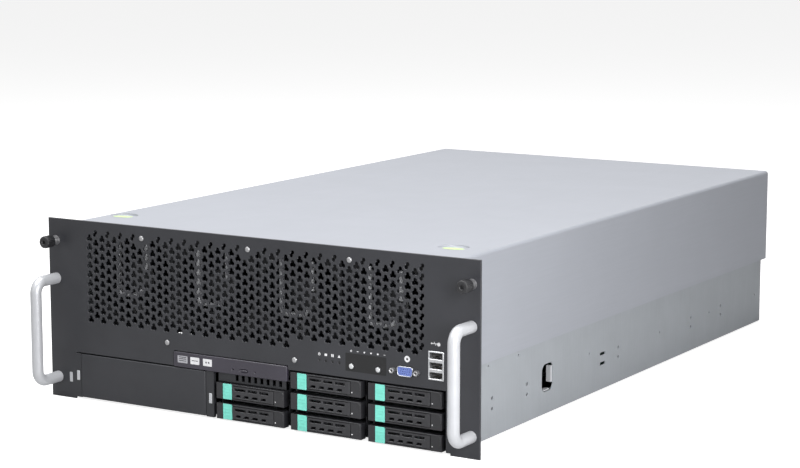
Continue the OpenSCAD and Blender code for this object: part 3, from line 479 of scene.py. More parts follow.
card_grey = finish("card_grey", (0.035, 0.037, 0.042), 0.34, 0.3, (0.5, 0.015), (25, 0.08))
supply_steel = finish("supply_steel", (0.44, 0.46, 0.49), 0.4, 0.7, (0.8, 0.01), (18, 0.06), ("y", 1.0, 0.05))
supply_green = finish("supply_green", (0.03, 0.34, 0.22), 0.35, grain=(0.4, 0.01))
print_white = finish("print_white", (0.78, 0.78, 0.8), 0.5, grain=(0.3, 0.005), mottle=(1.5, 0.08))
print_grey = finish("print_grey", (0.42, 0.42, 0.45), 0.5, grain=(0.3, 0.005), mottle=(1.5, 0.08))
pit_black = finish("pit_black", (0.004, 0.004, 0.005), 0.6, grain=(0.5, 0.01))
tint_green = finish("tint_green", (0.60, 0.78, 0.36), 0.5, grain=(0.6, 0.01), mottle=(6, 0.05))
contact_gold = finish("contact_gold", (0.8, 0.55, 0.2), 0.3, 1.0, (0.3, 0.01))

slot_finish = {
    name: value for name, value in globals().items() if isinstance(value, bpy.types.Material)
}
for node, thing in frame["nodes"].items():
    named = next(s["material_slot"] for s in frame["record"]["subparts"] if s["node"] == node)
    thing.data.materials.clear()
    thing.data.materials.append(slot_finish[named])
print("finishes:", len(slot_finish))

# %% [markdown]
# ## The front panel
#
# The real panel is one sheet of coated steel: two ears, a field of club-shaped air holes, and windows for
# the drives and controls. The construction model splits it into a panel and a vent plate with plain round
# holes, which keeps its solids light. Here both are replaced by one skin with the real hole shape. Every
# hole is three overlapping lobes; along the top and down the right end the press tool leaves only two of
# them. Over the controls the lowest row is left out.

# %% Vent holes
VENT_PITCH_X = 7.62
VENT_PITCH_Z = 8.85
VENT_ROWS = 10
VENT_FOOT = 5.4
VENT_SIDES = 11.6
LOBE_REACH = 1.85
LOBE_R = 1.95
SCREW_CLEARANCE = 6.8
SHORT_FROM_X = 44.0

vent_low, vent_high = node_box("vent_plate")
vent_mid = (vent_low[0] + vent_high[0]) / 2
vent_columns = int((vent_high[0] - vent_low[0] - VENT_SIDES) // VENT_PITCH_X) + 1
top_screws = np.array([[vent_mid + s, vent_high[2] - 4.6] for s in (-123, 0, 111)])
low_screws = np.array([[-98.1, 68.1], [47.2, 67.5]])

column, row = np.meshgrid(np.arange(vent_columns), np.arange(VENT_ROWS), indexing="ij")
vent_x = vent_mid + (column - (vent_columns - 1) / 2) * VENT_PITCH_X
vent_z = vent_low[2] + VENT_FOOT + (row + (column % 2) / 2) * VENT_PITCH_Z
centres = np.stack([vent_x, vent_z], -1).reshape(-1, 2)
two_lobed = (((row == VENT_ROWS - 1) & (column % 2 == 1)) | (column == vent_columns - 1)).reshape(-1)
clear = np.linalg.norm(centres[:, None] - top_screws, axis=2).min(1) > SCREW_CLEARANCE
clear &= ~((row == 0) & (vent_x > SHORT_FROM_X)).reshape(-1)
clubs = lobes(centres[clear & ~two_lobed], (90, 210, 330), LOBE_REACH, LOBE_R)
turned = LOBE_REACH * np.array([-math.sqrt(3) / 4, 1 / 4])
slashes = lobes(centres[clear & two_lobed] + turned, (60, 240), LOBE_REACH * math.sqrt(3) / 2, LOBE_R)
print("air holes:", len(clubs), "with three lobes and", len(slashes), "with two")

# %% [markdown]
# The panel's lower edge is cut away over the drive bays, so its outline runs up and round them. The windows
# are each a stated gap wider than the piece that shows in them.

# %% Panel outline
BAY_GAP = 3.6
BEZEL_GAP = 0.6
BLANK_GAP = 0.5
GROOVE_H = 1.2
GROOVE_PAST = 6.0
FOOT_LIFT = 2.0

blank_low, blank_high = node_box("bay_cover")
bezel_low, bezel_high = node_box("disc_bezel")
cage_top = max(high[2] for low, high in carrier_boxes) + 1.6
ear_in = node_box("top_cover")[1][0] - 4
left, right = panel_low[0], panel_high[0]
blank_left = blank_low[0] - BLANK_GAP
groove_z = blank_high[2] + GROOVE_H
outline = np.array(
    [
        [left, 0], [-ear_in, 0], [-ear_in, FOOT_LIFT], [blank_left, FOOT_LIFT],
        [blank_left, blank_high[2]], [blank_left - GROOVE_PAST, blank_high[2]],
        [blank_left - GROOVE_PAST, groove_z], [bezel_low[0] - BEZEL_GAP, groove_z],
        [bezel_low[0] - BEZEL_GAP, bezel_high[2] + BEZEL_GAP],
        [bezel_high[0] + BEZEL_GAP, bezel_high[2] + BEZEL_GAP],
        [bezel_high[0] + BEZEL_GAP, cage_top], [bay_right + BAY_GAP, cage_top],
        [bay_right + BAY_GAP, FOOT_LIFT], [ear_in, FOOT_LIFT], [ear_in, 0], [right, 0],
        [right, panel_high[2]], [left, panel_high[2]],
    ]
)

# %% [markdown]
# Controls sit in a row over the right-hand bays. Their places are counted from the right end of the bays,
# as in the construction model: four lamps, two buttons, the blue video port between its hexagonal posts,
# and a stack of three sockets.

# %% Controls and panel skin
EAR_X = 232.55
SCREW_DROP = 21.8
lamp_x = bay_right - 129.1 + 7.15 * np.arange(4)
LAMP_Z = 70.4
button_x = {"power": bay_right - 94.3, "locate": bay_right - 66.1}
BUTTON_Z = 68.8
PORT_X = bay_right - 37.8
PORT_Z = 70.5
POST_PITCH = 25.0
usb_low, usb_high = node_box("usb_sockets")
usb_front_z = (usb_high[2] - 26.1, usb_high[2])
handle_feet = (19.8, 117.8)
screw_z = panel_high[2] - SCREW_DROP


def d_shape(x, z, wide, high, slant, r):
    """A port's outline: a rectangle whose lower corners are drawn in by a slant, with arcs of radius r."""
    points = rectangle(x - wide / 2, z - high / 2, x + wide / 2, z + high / 2, r, 6)
    down = (z + high / 2 - points[:, 1]) / high
    points[:, 0] -= np.sign(points[:, 0] - x) * slant * down
    return points


windows = [rectangle(usb_low[0] - 0.2, usb_front_z[0] - 0.2, usb_high[0] + 0.2, usb_front_z[1] + 0.2, 0.5)]
windows += [d_shape(PORT_X, PORT_Z, 17.6, 9.6, 1.0, 2.8)]
windows += [circle(PORT_X + s * POST_PITCH / 2, PORT_Z, 1.9) for s in (-1, 1)]
windows += [circle(x, BUTTON_Z, 2.95) for x in button_x.values()]
windows += [circle(x, LAMP_Z, 1.2, 16) for x in lamp_x]
windows += [circle(s * EAR_X, screw_z, 3.9) for s in (-1, 1)]
panel_skin = plate(outline, windows + list(clubs) + list(slashes), FACE, panel_back, 0.25)
piece("front_panel_skin", panel_skin, "chassis", "panel_black", panel_black, ("front_panel", "vent_plate"))
print("panel faces:", len(panel_skin[1]))

# %% [markdown]
# ## Marks on the panel
#
# Small printed symbols tell the lamps and ports apart: each is a film a twentieth of a millimetre thick.
# They are plain generic signs. Three folded tabs of bright sheet show beside the spare bay, where its cover
# hooks in.

# %% Printed symbols
INK = 0.05


def film(outline, holes=(), thick=INK):
    """A flat film on the panel's face."""
    return plate(outline, holes, FACE - thick, FACE + 0.1, 0.01)


def ring(x, z, outer, inner):
    """A printed ring."""
    return film(circle(x, z, outer, 32), [circle(x, z, inner, 32)])


def bar(x, z, x0, z0, x1, z1, r=0.0):
    """A printed rectangle, its corners counted from a point on the panel."""
    return film(rectangle(x + x0, z + z0, x + x1, z + z1, r))


def arrow(x, z, *corners):
    """A printed triangle, its corners counted from a point on the panel."""
    return film(np.array(corners) + [x, z])


mark_z = 76.2
marks = [
    ring(lamp_x[0], mark_z, 1.3, 0.8),
    bar(lamp_x[0], mark_z, -0.2, 0, 0.2, 1.7),
    bar(lamp_x[1], mark_z, -1.4, -1.1, 1.4, 1.1, 0.5),
    bar(lamp_x[2], mark_z, -1.3, -1.3, -0.2, 1.3),
    bar(lamp_x[2], mark_z, 0.2, -1.3, 1.3, 1.3),
    arrow(lamp_x[3], mark_z, (-1.5, -1.2), (1.5, -1.2), (0, 1.5)),
]
small_x = bay_right - 94.85 + 7.06 * np.arange(6)
small_z = 82.8
marks += [
    ring(small_x[0], small_z, 1.0, 0.6),
    bar(small_x[1], small_z, -0.8, -0.3, 0.8, 0.3),
    film(circle(small_x[2], small_z, 0.8, 16)),
    film(circle(small_x[3], small_z, 0.8, 16)),
    bar(small_x[4], small_z, -0.8, -0.7, 0.8, 0.7, 0.3),
    bar(small_x[5], small_z, -0.9, -0.25, 0.9, 0.25),
    ring(PORT_X + 1.8, 81.9, 2.9, 1.1),
]
fork_x, fork_z = bay_right - 7.3, 98.9
marks += [
    film(circle(fork_x + 3.6, fork_z - 0.4, 1.7, 20)),
    bar(fork_x, fork_z, -3.4, -0.35, 2.4, 0.25),
    arrow(fork_x, fork_z, (-4.6, 0), (-3.2, -1.1), (-3.2, 1.1)),
    bar(fork_x, fork_z, -1.2, 0, -0.6, 1.5),
    bar(fork_x, fork_z, 0.2, -1.6, 0.8, 0),
]
piece("printed_marks", gather(*marks), "chassis", None, print_white)
holes = [circle(x, BUTTON_Z, 2.95) for x in button_x.values()]
shade = film(rectangle(bay_right - 100.9, 64, bay_right - 57.6, 80.7, 0.8), holes, 0.02)
piece("button_label", shade, "chassis", None, pit_black)

# %% Bright tabs
TAB_W = 3.4
TAB_H = 9.6
tab_spots = [(left + 24.4, 21.0), (left + 33.6, 23.7), (left + 193.0, 20.0)]
tab_outline = rectangle(-TAB_W / 2, -TAB_H / 2, TAB_W / 2, TAB_H / 2, 0.5)
tabs = [plate(tab_outline + spot, (), FACE - 0.5, FACE + 1, 0.2) for spot in tab_spots]
piece("cover_tabs", gather(*tabs), "chassis", "handle_satin", handle_satin)

# %% [markdown]
# ## Grips and thumbscrews
#
# Each grip is a bar of satin metal bent at both ends and screwed on from behind. It is a circle carried
# along a flat path: out from the panel, round a quarter circle, down, round again, and back. The thumbscrew
# is a turned knob: its profile is revolved, and grooves along its side give the fingers hold.

# %% Grips
def grip_path(low, high, radius):
    """Out from the panel, down the grip and back: three straights joined by two quarter circles."""
    x = (low[0] + high[0]) / 2
    bend = 11.0
    reach = FACE - low[1] - radius
    z0, z1 = low[2] + radius, high[2] - radius
    angle = np.radians(np.linspace(0, 90, 13))
    out = np.stack([-bend * np.sin(angle), bend * (1 - np.cos(angle))], -1) + [-(reach - bend), 0]
    lower = np.concatenate([[[0, 0]], out])
    upper = lower[::-1] * [1, -1] + [0, z1 - z0]
    flat = np.concatenate([lower, upper])
    return np.stack([np.full(len(flat), x), FACE + flat[:, 0], z0 + flat[:, 1]], -1)


for side in ("left", "right"):
    low, high = node_box(f"handle_{side}")
    bar_r = (high[0] - low[0]) / 2
    grip = sweep(grip_path(low, high, bar_r), bar_r, (1, 0, 0), 40)
    piece(f"grip_{side}", grip, "chassis", "handle_satin", handle_satin, (f"handle_{side}",))
print("grip bar radius:", round(bar_r, 2), "mm")

# %% Thumbscrews
KNOB_R = 6.0
KNOB_PROFILE = [
    (-15.8, 0), (-15.8, 1.5), (-17.4, 1.7), (-17.4, 2.2), (-17.9, 2.6), (-18.0, 4.6), (-17.6, 5.4),
    (-16.8, KNOB_R), (-12, KNOB_R), (-7.4, KNOB_R), (-6.6, 5.6), (-6.2, 4.8), (-6.2, 2.7),
    (3, 2.7), (3, 3.0), (12, 3.0), (12, 0),
]
for side, sign in (("left", -1), ("right", 1)):
    centre = (sign * EAR_X, FACE, screw_z)
    knob = revolve(KNOB_PROFILE, centre, 144, groove=0.5, grooves=24)
    piece(f"knob_{side}", knob, f"{side}_thumbscrew", "knob_black", knob_black, (f"thumbscrew_{side}",))

# %% Panel screws, collars and the screws behind the grips
HEAD = [
    (-1.5, 0), (-1.5, 0.5), (-1.45, 1.2), (-1.2, 2.0), (-0.7, 2.5),
    (0.05, 2.6), (0.05, 1.6), (3, 1.6), (3, 0),
]
COLLAR = [
    (-5.6, 2.8), (-5.6, 3.9), (-5.0, 4.5), (-0.8, 4.6), (0, 4.9),
    (0, 3.7), (2, 3.7), (2, 2.8), (-5.6, 2.8),
]
BOLT = [(-9, 0), (-9, 2.3), (2, 2.3), (2, 4.2), (4.2, 4.2), (4.8, 3.6), (4.8, 2.1), (3.2, 2.1), (3.2, 0)]
metal = [revolve(HEAD, (x, FACE, z), 24) for x, z in np.concatenate([top_screws, low_screws])]
metal += [revolve(COLLAR, (s * EAR_X, FACE, screw_z), 40) for s in (-1, 1)]
metal += [revolve(BOLT, (s * EAR_X, FACE, z), 24) for s in (-1, 1) for z in handle_feet]
piece("panel_screws", gather(*metal), "chassis", "screw_zinc", screw_zinc, ("fasteners",))

# %% [markdown]
# ## Drive carriers
#
# Eight moulded trays slide in from the front. Each has a blank end, a green latch and a swinging lever with
# two rows of air slots; those of the lower row are slanted at one end. A raised bead runs along the top and
# turns down at the right end. Behind the face a disk rests between two rails. All trays are alike, so one
# function makes one from its box.

# %% One carrier
END_W = 7.0
RIM = 1.2
BLOCK_X = 65.15
BEAD_R = 0.55
RAIL_IN = 1.2


def carrier_tray(low, high):
    """Face frame, rims, tray floor and rails: plain blocks; the bead along the top is a piece of its own."""
    face = low[1]
    deep = face + 8.0
    x0, z0, x1, z1 = low[0], low[2], high[0], high[2]
    floor = z0 + 2.35
    parts = [
        block((x0, face, z0), (x0 + END_W, deep, z1)),
        block((x0 + BLOCK_X, face, z0), (x1, deep, z1)),
        block((x0 + END_W - 1, face + 0.3, z1 - RIM), (x0 + BLOCK_X + 1, deep, z1)),
        block((x0 + END_W - 1, face + 0.3, z0), (x0 + BLOCK_X + 1, deep, z0 + RIM)),
        block((x0 + RAIL_IN, deep - 1, floor), (x1 - RAIL_IN, high[1], floor + 1.2)),
        block((x0 + RAIL_IN, deep - 1, floor), (x0 + RAIL_IN + 1.2, high[1], z1 - 1)),
        block((x1 - RAIL_IN - 1.2, deep - 1, floor), (x1 - RAIL_IN, high[1], z1 - 1)),
    ]
    return gather(*parts)


def carrier_bead(low, high):
    """A bead of half-round section: along the top, then a quarter circle down at the right end."""
    bend = 3.0
    y, z = low[1] + 0.1, high[2] - BEAD_R
    x_end = high[0] - 1.0
    angle = np.radians(np.linspace(0, 90, 7))
    arc = np.stack([x_end - bend + bend * np.sin(angle), z - bend + bend * np.cos(angle)], -1)
    flat = np.concatenate([[[low[0] + END_W + 11, z]], arc, [[x_end, low[2] + 6.5]]])
    path = np.stack([flat[:, 0], np.full(len(flat), y), flat[:, 1]], -1)
    return sweep(path, BEAD_R, (0, 1, 0), 12)


def disk(low, high):
    """A disk on its tray: a case with a stepped lid and four screws."""
    mid = (low[0] + high[0]) / 2
    x0, x1 = mid - 34.9, mid + 34.9
    y0 = low[1] + 8.5
    z0 = low[2] + 3.75
    parts = [
        block((x0, y0, z0), (x1, y0 + 100.2, z0 + 8.6)),
        block((x0 + 2, y0 + 3, z0 + 8), (x1 - 2, y0 + 97, z0 + 9.4)),
    ]
    spots = [(x0 + 5, y0 + 6), (x1 - 5, y0 + 6), (x0 + 5, y0 + 94), (x1 - 5, y0 + 94)]
    parts += [revolve([(0, 0), (0, 1.6), (-1, 1.8)], (x, y, z0 + 9.6), 12, "z") for x, y in spots]
    return gather(*parts)


# %% One lever and one latch
SLOT_H = 2.3
KNUCKLE_R = 2.2
UPPER_SLOTS = ((2.6, 15.2), (17.6, 28), (30.6, 41))
LOWER_SLOTS = ((3.4, 9.4), (12.6, 18.6), (21.8, 28.8), (32, 38))


def slot(x0, x1, z, slant=0.0):
    """An air slot whose left end leans by a slant."""
    return np.array([[x0, z], [x1, z], [x1, z + SLOT_H], [x0 + slant, z + SLOT_H]])


def lever_plate(low, high):
    """The lever: a plate pierced by three long slots above and four slanted ones below."""
    x0, z0 = low[0], low[2]
    upper = [slot(x0 + a, x0 + b, z0 + 7.6) for a, b in UPPER_SLOTS]
    lower = [slot(x0 + a, x0 + b, z0 + 1.6, 1.6) for a, b in LOWER_SLOTS]
    knuckle_x = high[0] - KNUCKLE_R
    face = rectangle(x0, z0, knuckle_x, high[2], 0.5)
    barrel = [(z0, 0), (z0, KNUCKLE_R), (high[2], KNUCKLE_R), (high[2], 0)]
    knuckle = revolve(barrel, (knuckle_x, low[1] + KNUCKLE_R, 0), 24, "z")
    return gather(plate(face, upper + lower, low[1] + 0.15, high[1], 0.3), knuckle)


def latch_key(low, high):
    """The latch: a block with three finger ridges."""
    mid = (low[2] + high[2]) / 2
    ridges = [
        block((low[0] + 1, low[1] - 0.25, z - 0.4), (high[0] - 1, low[1] + 1, z + 0.4))
        for z in (mid - 3, mid, mid + 3)
    ]
    return gather(block(low, high), *ridges)


# %% All eight carriers
for n, (low, high) in enumerate(carrier_boxes, 1):
    drive, arm, key = f"drive_{n}", f"lever_arm_{n}", f"latch_key_{n}"
    tray = carrier_tray(low, high)
    piece(f"tray_frame_{n}", tray, drive, "carrier_black", carrier_black, (f"carrier_{n}",), 0.25)
    piece(f"tray_bead_{n}", carrier_bead(low, high), drive, "lever_black", lever_black)
    piece(f"disk_{n}", disk(low, high), drive, "drive_case", drive_case, bevel=0.3)
    lever = lever_plate(*node_box(f"lever_{n}"))
    piece(f"lever_face_{n}", lever, arm, "lever_black", lever_black, (f"lever_{n}",))
    latch = latch_key(*node_box(f"latch_{n}"))
    piece(f"latch_face_{n}", latch, key, "latch_teal", latch_teal, (f"latch_{n}",), 0.3)
lamps = [
    revolve([(-0.35, 0), (-0.3, 0.4), (0, 0.6), (0.5, 0.6)], (low[0] + BLOCK_X + 1.6, low[1], low[2] + 4), 12)
    for low, high in carrier_boxes
]
for n, lamp in enumerate(lamps, 1):
    piece(f"tray_lamp_{n}", lamp, f"drive_{n}", None, print_white)

# %% [markdown]
# ## Optical drive and spare bay
#
# The optical drive's front is a moulded plate with three printed badges and an eject key. Its tray slides
# out with it. The tray has a round recess for the disc: a plate with a circular hole lies on a thinner
# plate. The spare bay has a plain cover with walls folded back on all four sides.

# %% Bezel, badges and eject key
EJECT_GAP = 0.35
BADGE_Z = (50.6, 57.4)
eject_low, eject_high = node_box("eject_button")
eject_z = (eject_low[2] + eject_high[2]) / 2
pin_x = eject_high[0] + 8.85
lamp_hole_x = eject_low[0] - 8.0
eject_corners = (eject_low[0], eject_low[2], eject_high[0], eject_high[2])
bezel_holes = [
    rectangle(*np.add(eject_corners, np.array([-1, -1, 1, 1]) * EJECT_GAP), 1.2),
    circle(pin_x, eject_z, 0.6, 16),
    circle(lamp_hole_x, eject_z, 0.8, 16),
]
bezel_outline = rectangle(bezel_low[0], bezel_low[2], bezel_high[0], bezel_high[2], 1.2)
bezel = plate(bezel_outline, bezel_holes, bezel_low[1], bezel_high[1], 0.5)
piece("drive_bezel", bezel, "disc_drawer", "bezel_dark", bezel_dark, ("disc_bezel",))
key = plate(rectangle(*eject_corners, 0.9), (), eject_low[1], eject_high[1], 0.3)
piece("eject_face", key, "eject_key", "bezel_dark", bezel_dark, ("eject_button",))


def badge(x0, x1, holes):
    """A printed badge on the bezel, with plain shapes left out of it."""
    outline = rectangle(left + x0, BADGE_Z[0], left + x1, BADGE_Z[1], 0.5)
    return plate(outline, holes, bezel_low[1] - INK, bezel_low[1] + 0.1, 0.01)


lines = [rectangle(left + 157.2, z, left + 165.8, z + 0.7) for z in (52.3, 54.1, 55.7)]
grey_badge = badge(155.7, 167.3, lines)
ring_badge = badge(170.7, 181.1, [rectangle(left + 172.3, 53.7, left + 179.5, 54.4)])
dot_badge = badge(185.4, 195.7, [circle(left + 189.0, 54.0, 0.9, 16), circle(left + 192.0, 54.0, 0.9, 16)])
piece("badge_grey", grey_badge, "disc_drawer", None, print_grey)
piece("badges_white", gather(ring_badge, dot_badge), "disc_drawer", None, print_white)

# %% Disc tray
tray_low, tray_high = node_box("disc_tray")
tray_mid = ((tray_low[0] + tray_high[0]) / 2, tray_low[1] + 61.2)
DISC_R = 60.0
tray_outline = rectangle(tray_low[0], tray_low[1] + 1.6, tray_high[0], tray_high[1], 2)
rim = plate(tray_outline, [circle(*tray_mid, DISC_R, 96)], tray_high[2], tray_high[2] - 3.6, 0.3, "top")
reader = rectangle(tray_mid[0] - 9, tray_mid[1] + 9, tray_mid[0] + 9, tray_mid[1] + 50, 3)
sunk = plate(tray_outline, [reader], tray_high[2] - 3.5, tray_low[2], 0.2, "top")
HUB = [
    (-4, 0), (-4, 12), (-3.2, 14), (-2.6, 14), (-2.2, 7.4),
    (-0.6, 7.2), (-0.2, 6.4), (-0.2, 2), (-0.8, 1.4), (-0.8, 0),
]
hub = revolve(HUB, (tray_mid[0], tray_mid[1], tray_high[2]), 48, "z")
piece("tray_plate", gather(rim, sunk), "disc_drawer", "tray_black", tray_black, ("disc_tray",))
piece("tray_hub", hub, "disc_drawer", "tray_black", lever_black)

# %% Spare bay's cover
blank_outline = rectangle(blank_low[0], blank_low[2], blank_high[0], blank_high[2], 0.8)
skin = plate(blank_outline, (), blank_low[1], blank_low[1] + 2.4, 0.5)
wall = 1.2
x0, y0, z0 = blank_low + [0, 2, 0]
x1, y1, z1 = blank_high
folds = [
    block((x0, y0, z0), (x0 + wall, y1, z1)),
    block((x1 - wall, y0, z0), (x1, y1, z1)),
    block((x0 + 1, y0, z0), (x1 - 1, y1, z0 + wall)),
    block((x0 + 1, y0, z1 - wall), (x1 - 1, y1, z1)),
]
piece("spare_bay_cover", gather(skin, *folds), "chassis", "panel_black", panel_black, ("bay_cover",))

# %% [markdown]
# ## Controls and ports
#
# The two buttons are domed caps on stems. The lamps are small lenses. The video port is a thin D-shaped
# shell round a blue insert with fifteen contact holes, between two hexagonal posts. Each socket of the
# stack holds a tongue with four gilt contacts.

# %% Buttons and lamps
CAP = [
    (-1.8, 0), (-1.75, 0.8), (-1.5, 1.7), (-1.0, 2.35), (-0.4, 2.5), (2.3, 2.5),
    (2.3, 3.4), (3.1, 3.4), (3.1, 1.4), (4.6, 1.4), (4.6, 0),
]
for use, x in button_x.items():
    cap = revolve(CAP, (x, FACE, BUTTON_Z), 32)
    piece(f"{use}_cap", cap, f"{use}_key", "button_silver", button_silver, (f"{use}_button",))
LENS = [(-0.15, 0), (-0.1, 0.6), (0.2, 1.1), (1.6, 1.1), (1.6, 0)]
lenses = [revolve(LENS, (x, FACE, LAMP_Z), 16) for x in lamp_x]
piece("lamp_lenses", gather(*lenses), "chassis", None, pit_black)

# %% Video port
port_low, port_high = node_box("video_port")
d_outer = d_shape(PORT_X, PORT_Z, 16.9, 8.9, 1.0, 2.5)
d_inner = d_shape(PORT_X, PORT_Z, 15.9, 7.9, 1.0, 2.1)
contact_spots = [(PORT_X + (k + r / 4) * 2.29, PORT_Z + r * 1.98) for r in (-1, 0, 1) for k in range(-2, 3)]
shell = plate(d_outer, [d_inner], FACE - 1.4, panel_back + 1, 0.2)
flange_outline = rectangle(PORT_X - 15.5, PORT_Z - 4.2, PORT_X + 15.5, PORT_Z + 4.2, 1.5)
flange = plate(flange_outline, [d_inner], panel_back + 0.05, panel_back + 1.05, 0.1)
body = block((PORT_X - 8.1, panel_back + 1.2, port_low[2]), (PORT_X + 8.1, port_high[1], port_high[2] - 0.2))
POST = [(0, 2.7), (-3.8, 2.7), (-4.2, 2.4), (-4.2, 1.5), (-3.9, 1.2), (-0.6, 1.2), (-0.6, 0)]
posts = [revolve(POST, (PORT_X + s * POST_PITCH / 2, FACE, PORT_Z), 6) for s in (-1, 1)]
piece("video_shell", gather(shell, flange, body), "chassis", "port_steel", port_steel, ("video_port",))
piece("video_posts", gather(*posts), "chassis", "screw_zinc", screw_zinc, ("video_port",))
insert = plate(d_inner, [circle(x, z, 0.5, 12) for x, z in contact_spots], FACE - 1.0, FACE + 2.6, 0.1)
piece("video_insert", insert, "chassis", "port_blue", port_blue, ("video_port",))

# %% Socket stack
usb_mid = (usb_low[0] + usb_high[0]) / 2
socket_z = 70.1 + 8.8 * np.arange(3)
mouths = [rectangle(usb_mid - 6.5, z - 2.8, usb_mid + 6.5, z + 2.8, 0.4) for z in socket_z]
stack_outline = rectangle(usb_low[0], usb_front_z[0], usb_high[0], usb_front_z[1], 0.8)
stack = plate(stack_outline, mouths, usb_low[1], usb_high[1] - 1, 0.3)
back_wall = block((usb_low[0], usb_high[1] - 1, usb_front_z[0]), (usb_high[0], usb_high[1], usb_front_z[1]))
stack_foot = block((usb_low[0], panel_back + 0.2, usb_low[2]), (usb_high[0], usb_high[1], usb_front_z[0]))
shells = gather(stack, back_wall, stack_foot)
piece("socket_shells", shells, "chassis", "port_steel", port_steel, ("usb_sockets",))
tongues = [
    block((usb_mid - 5.4, FACE + 1.5, z + 0.3), (usb_mid + 5.4, FACE + 13.4, z + 2.2)) for z in socket_z
]
piece("socket_tongues", gather(*tongues), "chassis", None, pit_black, bevel=0.2)
strips = [
    block((usb_mid + x - 0.5, FACE + 2.4, z + 0.1), (usb_mid + x + 0.5, FACE + 12, z + 0.35))
    for z in socket_z for x in (-3.5, -1.1, 1.1, 3.5)
]
piece("socket_contacts", gather(*strips), "chassis", None, contact_gold)

# %% [markdown]
# ## Cover
#
# The cover is one sheet bent down at both sides. Its section is an arch: the bends are quarter circles of
# the outer radius, and the inner face is the same arch moved in by the sheet's thickness. The lid has two
# round holes, and each takes a pressed recess whose floor slopes down to the rear, z = -depth (1 + v) / 2
# with v from -1 at the front to 1 at the back. A pale green oval lies on the slope.

# %% Cover
COVER_BEND = 3.5
SHEET = 1.2
RECESS_R = 14.5
RECESS_DEPTH = 2.4
OVAL = (10.5, 9.0)
OVAL_LIFT = 0.12
RECESS_Y = FACE + 61
cover_low, cover_high = node_box("top_cover")
recess_x = (-197.0, 179.0)
lid_z = cover_high[2]


def arch(offset):
    """Half of the section, from the skirt's foot to the lid's edge, moved in by an offset: points (x, z)."""
    angle = np.radians(np.linspace(0, 90, 9))
    r = COVER_BEND - offset
    x = cover_high[0] - COVER_BEND + r * np.cos(angle)
    z = lid_z - COVER_BEND + r * np.sin(angle)
    return np.concatenate([[[cover_high[0] - offset, cover_low[2]]], np.stack([x, z], -1)])


def skirt(sign):
    """One skirt with its bend, closed round its section and run from the cover's front to its rear."""
    section = np.concatenate([arch(0), arch(SHEET)[::-1]]) * [sign, 1]
    points = np.empty((2, len(section), 3))
    points[:, :, 0] = section[:, 0]
    points[:, :, 1] = np.array([cover_low[1], cover_high[1]])[:, None]
    points[:, :, 2] = section[:, 1]
    shape, faces = grid(points, wrap_v=True)
    count = len(section)
    for row in (0, count):
        last = row + count - 1
        faces += [[row + k, row + k + 1, last - 1 - k, last - k] for k in range(count // 2 - 1)]
    return shape, faces


def recess(x):
    """The pressed recess: a wall round a floor that slopes down from the front to its full depth behind."""
    angle = np.arange(64) * 2 * np.pi / 64
    share = np.array([1.0, 0.985, 0.95, 0.9, 0.6, 0.3, 0.0])[:, None]
    ease = np.array([0.0, 0.35, 0.8, 1.0, 1.0, 1.0, 1.0])[:, None]
    points = np.empty((len(share), len(angle), 3))
    points[..., 0] = x + RECESS_R * share * np.cos(angle)
    points[..., 1] = RECESS_Y + RECESS_R * share * np.sin(angle)
    points[..., 2] = lid_z - RECESS_DEPTH * ease * (1 + share * np.sin(angle)) / 2
    return grid(points, wrap_v=True)


def oval(x):
    """A thin oval label on the recess's slope."""
    angle = np.arange(48) * 2 * np.pi / 48
    share = np.array([1.0, 0.5, 0.0])[:, None]
    points = np.empty((len(share), len(angle), 3))
    points[..., 0] = x + OVAL[0] * share * np.cos(angle)
    points[..., 1] = RECESS_Y + OVAL[1] * share * np.sin(angle)
    slope = share * np.sin(angle) * OVAL[1] / RECESS_R
    points[..., 2] = lid_z + OVAL_LIFT - RECESS_DEPTH * (1 + slope) / 2
    return grid(points, wrap_v=True)


flat_x = cover_high[0] - COVER_BEND
lid_holes = [circle(x, RECESS_Y, RECESS_R, 64) for x in recess_x]
lid_outline = rectangle(-flat_x, cover_low[1], flat_x, cover_high[1])
lid = plate(lid_outline, lid_holes, lid_z, lid_z - SHEET, 0.0, "top")
piece("cover_lid", lid, "cover", "cover_sheet", cover_sheet, ("top_cover",))
piece("cover_skirts", gather(skirt(-1), skirt(1)), "cover", "cover_sheet", cover_sheet, ("top_cover",))
recesses = gather(*[recess(x) for x in recess_x])
piece("cover_recesses", recesses, "cover", "cover_sheet", cover_sheet, ("top_cover",))
piece("recess_ovals", gather(*[oval(x) for x in recess_x]), "cover", None, tint_green)

# %% [markdown]
# ## Fans
#
# Each rotor has a domed hub and seven blades. A blade is a thin loft: at radius r its chord turns through
# an angle that shrinks slightly outwards and leans back as the square of r, which gives the swept tip. The
# bright guards hang from the fans' tops: a long leg, a foot with a round bend, and a short leg.

# %% Rotors
BLADES = 7
STATIONS = 9
FAN_SIZE = 92.0


def blade(centre, turn, inner, outer, front, depth, thick=1.6):
    """A blade as a loft of closed sections, each run forwards on one face and back on the other."""
    u = np.linspace(0, 1, STATIONS)[:, None]
    there, side = np.linspace(0, 1, STATIONS), np.full(STATIONS, 0.5)
    v = np.concatenate([there, there[::-1]])[None, :]
    face = np.concatenate([side, -side])[None, :] * thick
    r = inner + (outer - inner) * u
    angle = turn + (0.62 - 0.14 * u) * (v - 0.5) + 0.35 * u**2
    y = front + depth * v + face * (1 - 0.5 * np.abs(2 * v - 1) ** 4)
    points = np.stack([centre[0] + r * np.cos(angle), y + 0 * r, centre[1] + r * np.sin(angle)], -1)
    shape, faces = grid(points, wrap_v=True)
    round_trip = 2 * STATIONS
    for row in (0, (STATIONS - 1) * round_trip):
        last = row + round_trip - 1
        faces += [[row + k, row + k + 1, last - 1 - k, last - k] for k in range(STATIONS - 1)]
    return shape, faces


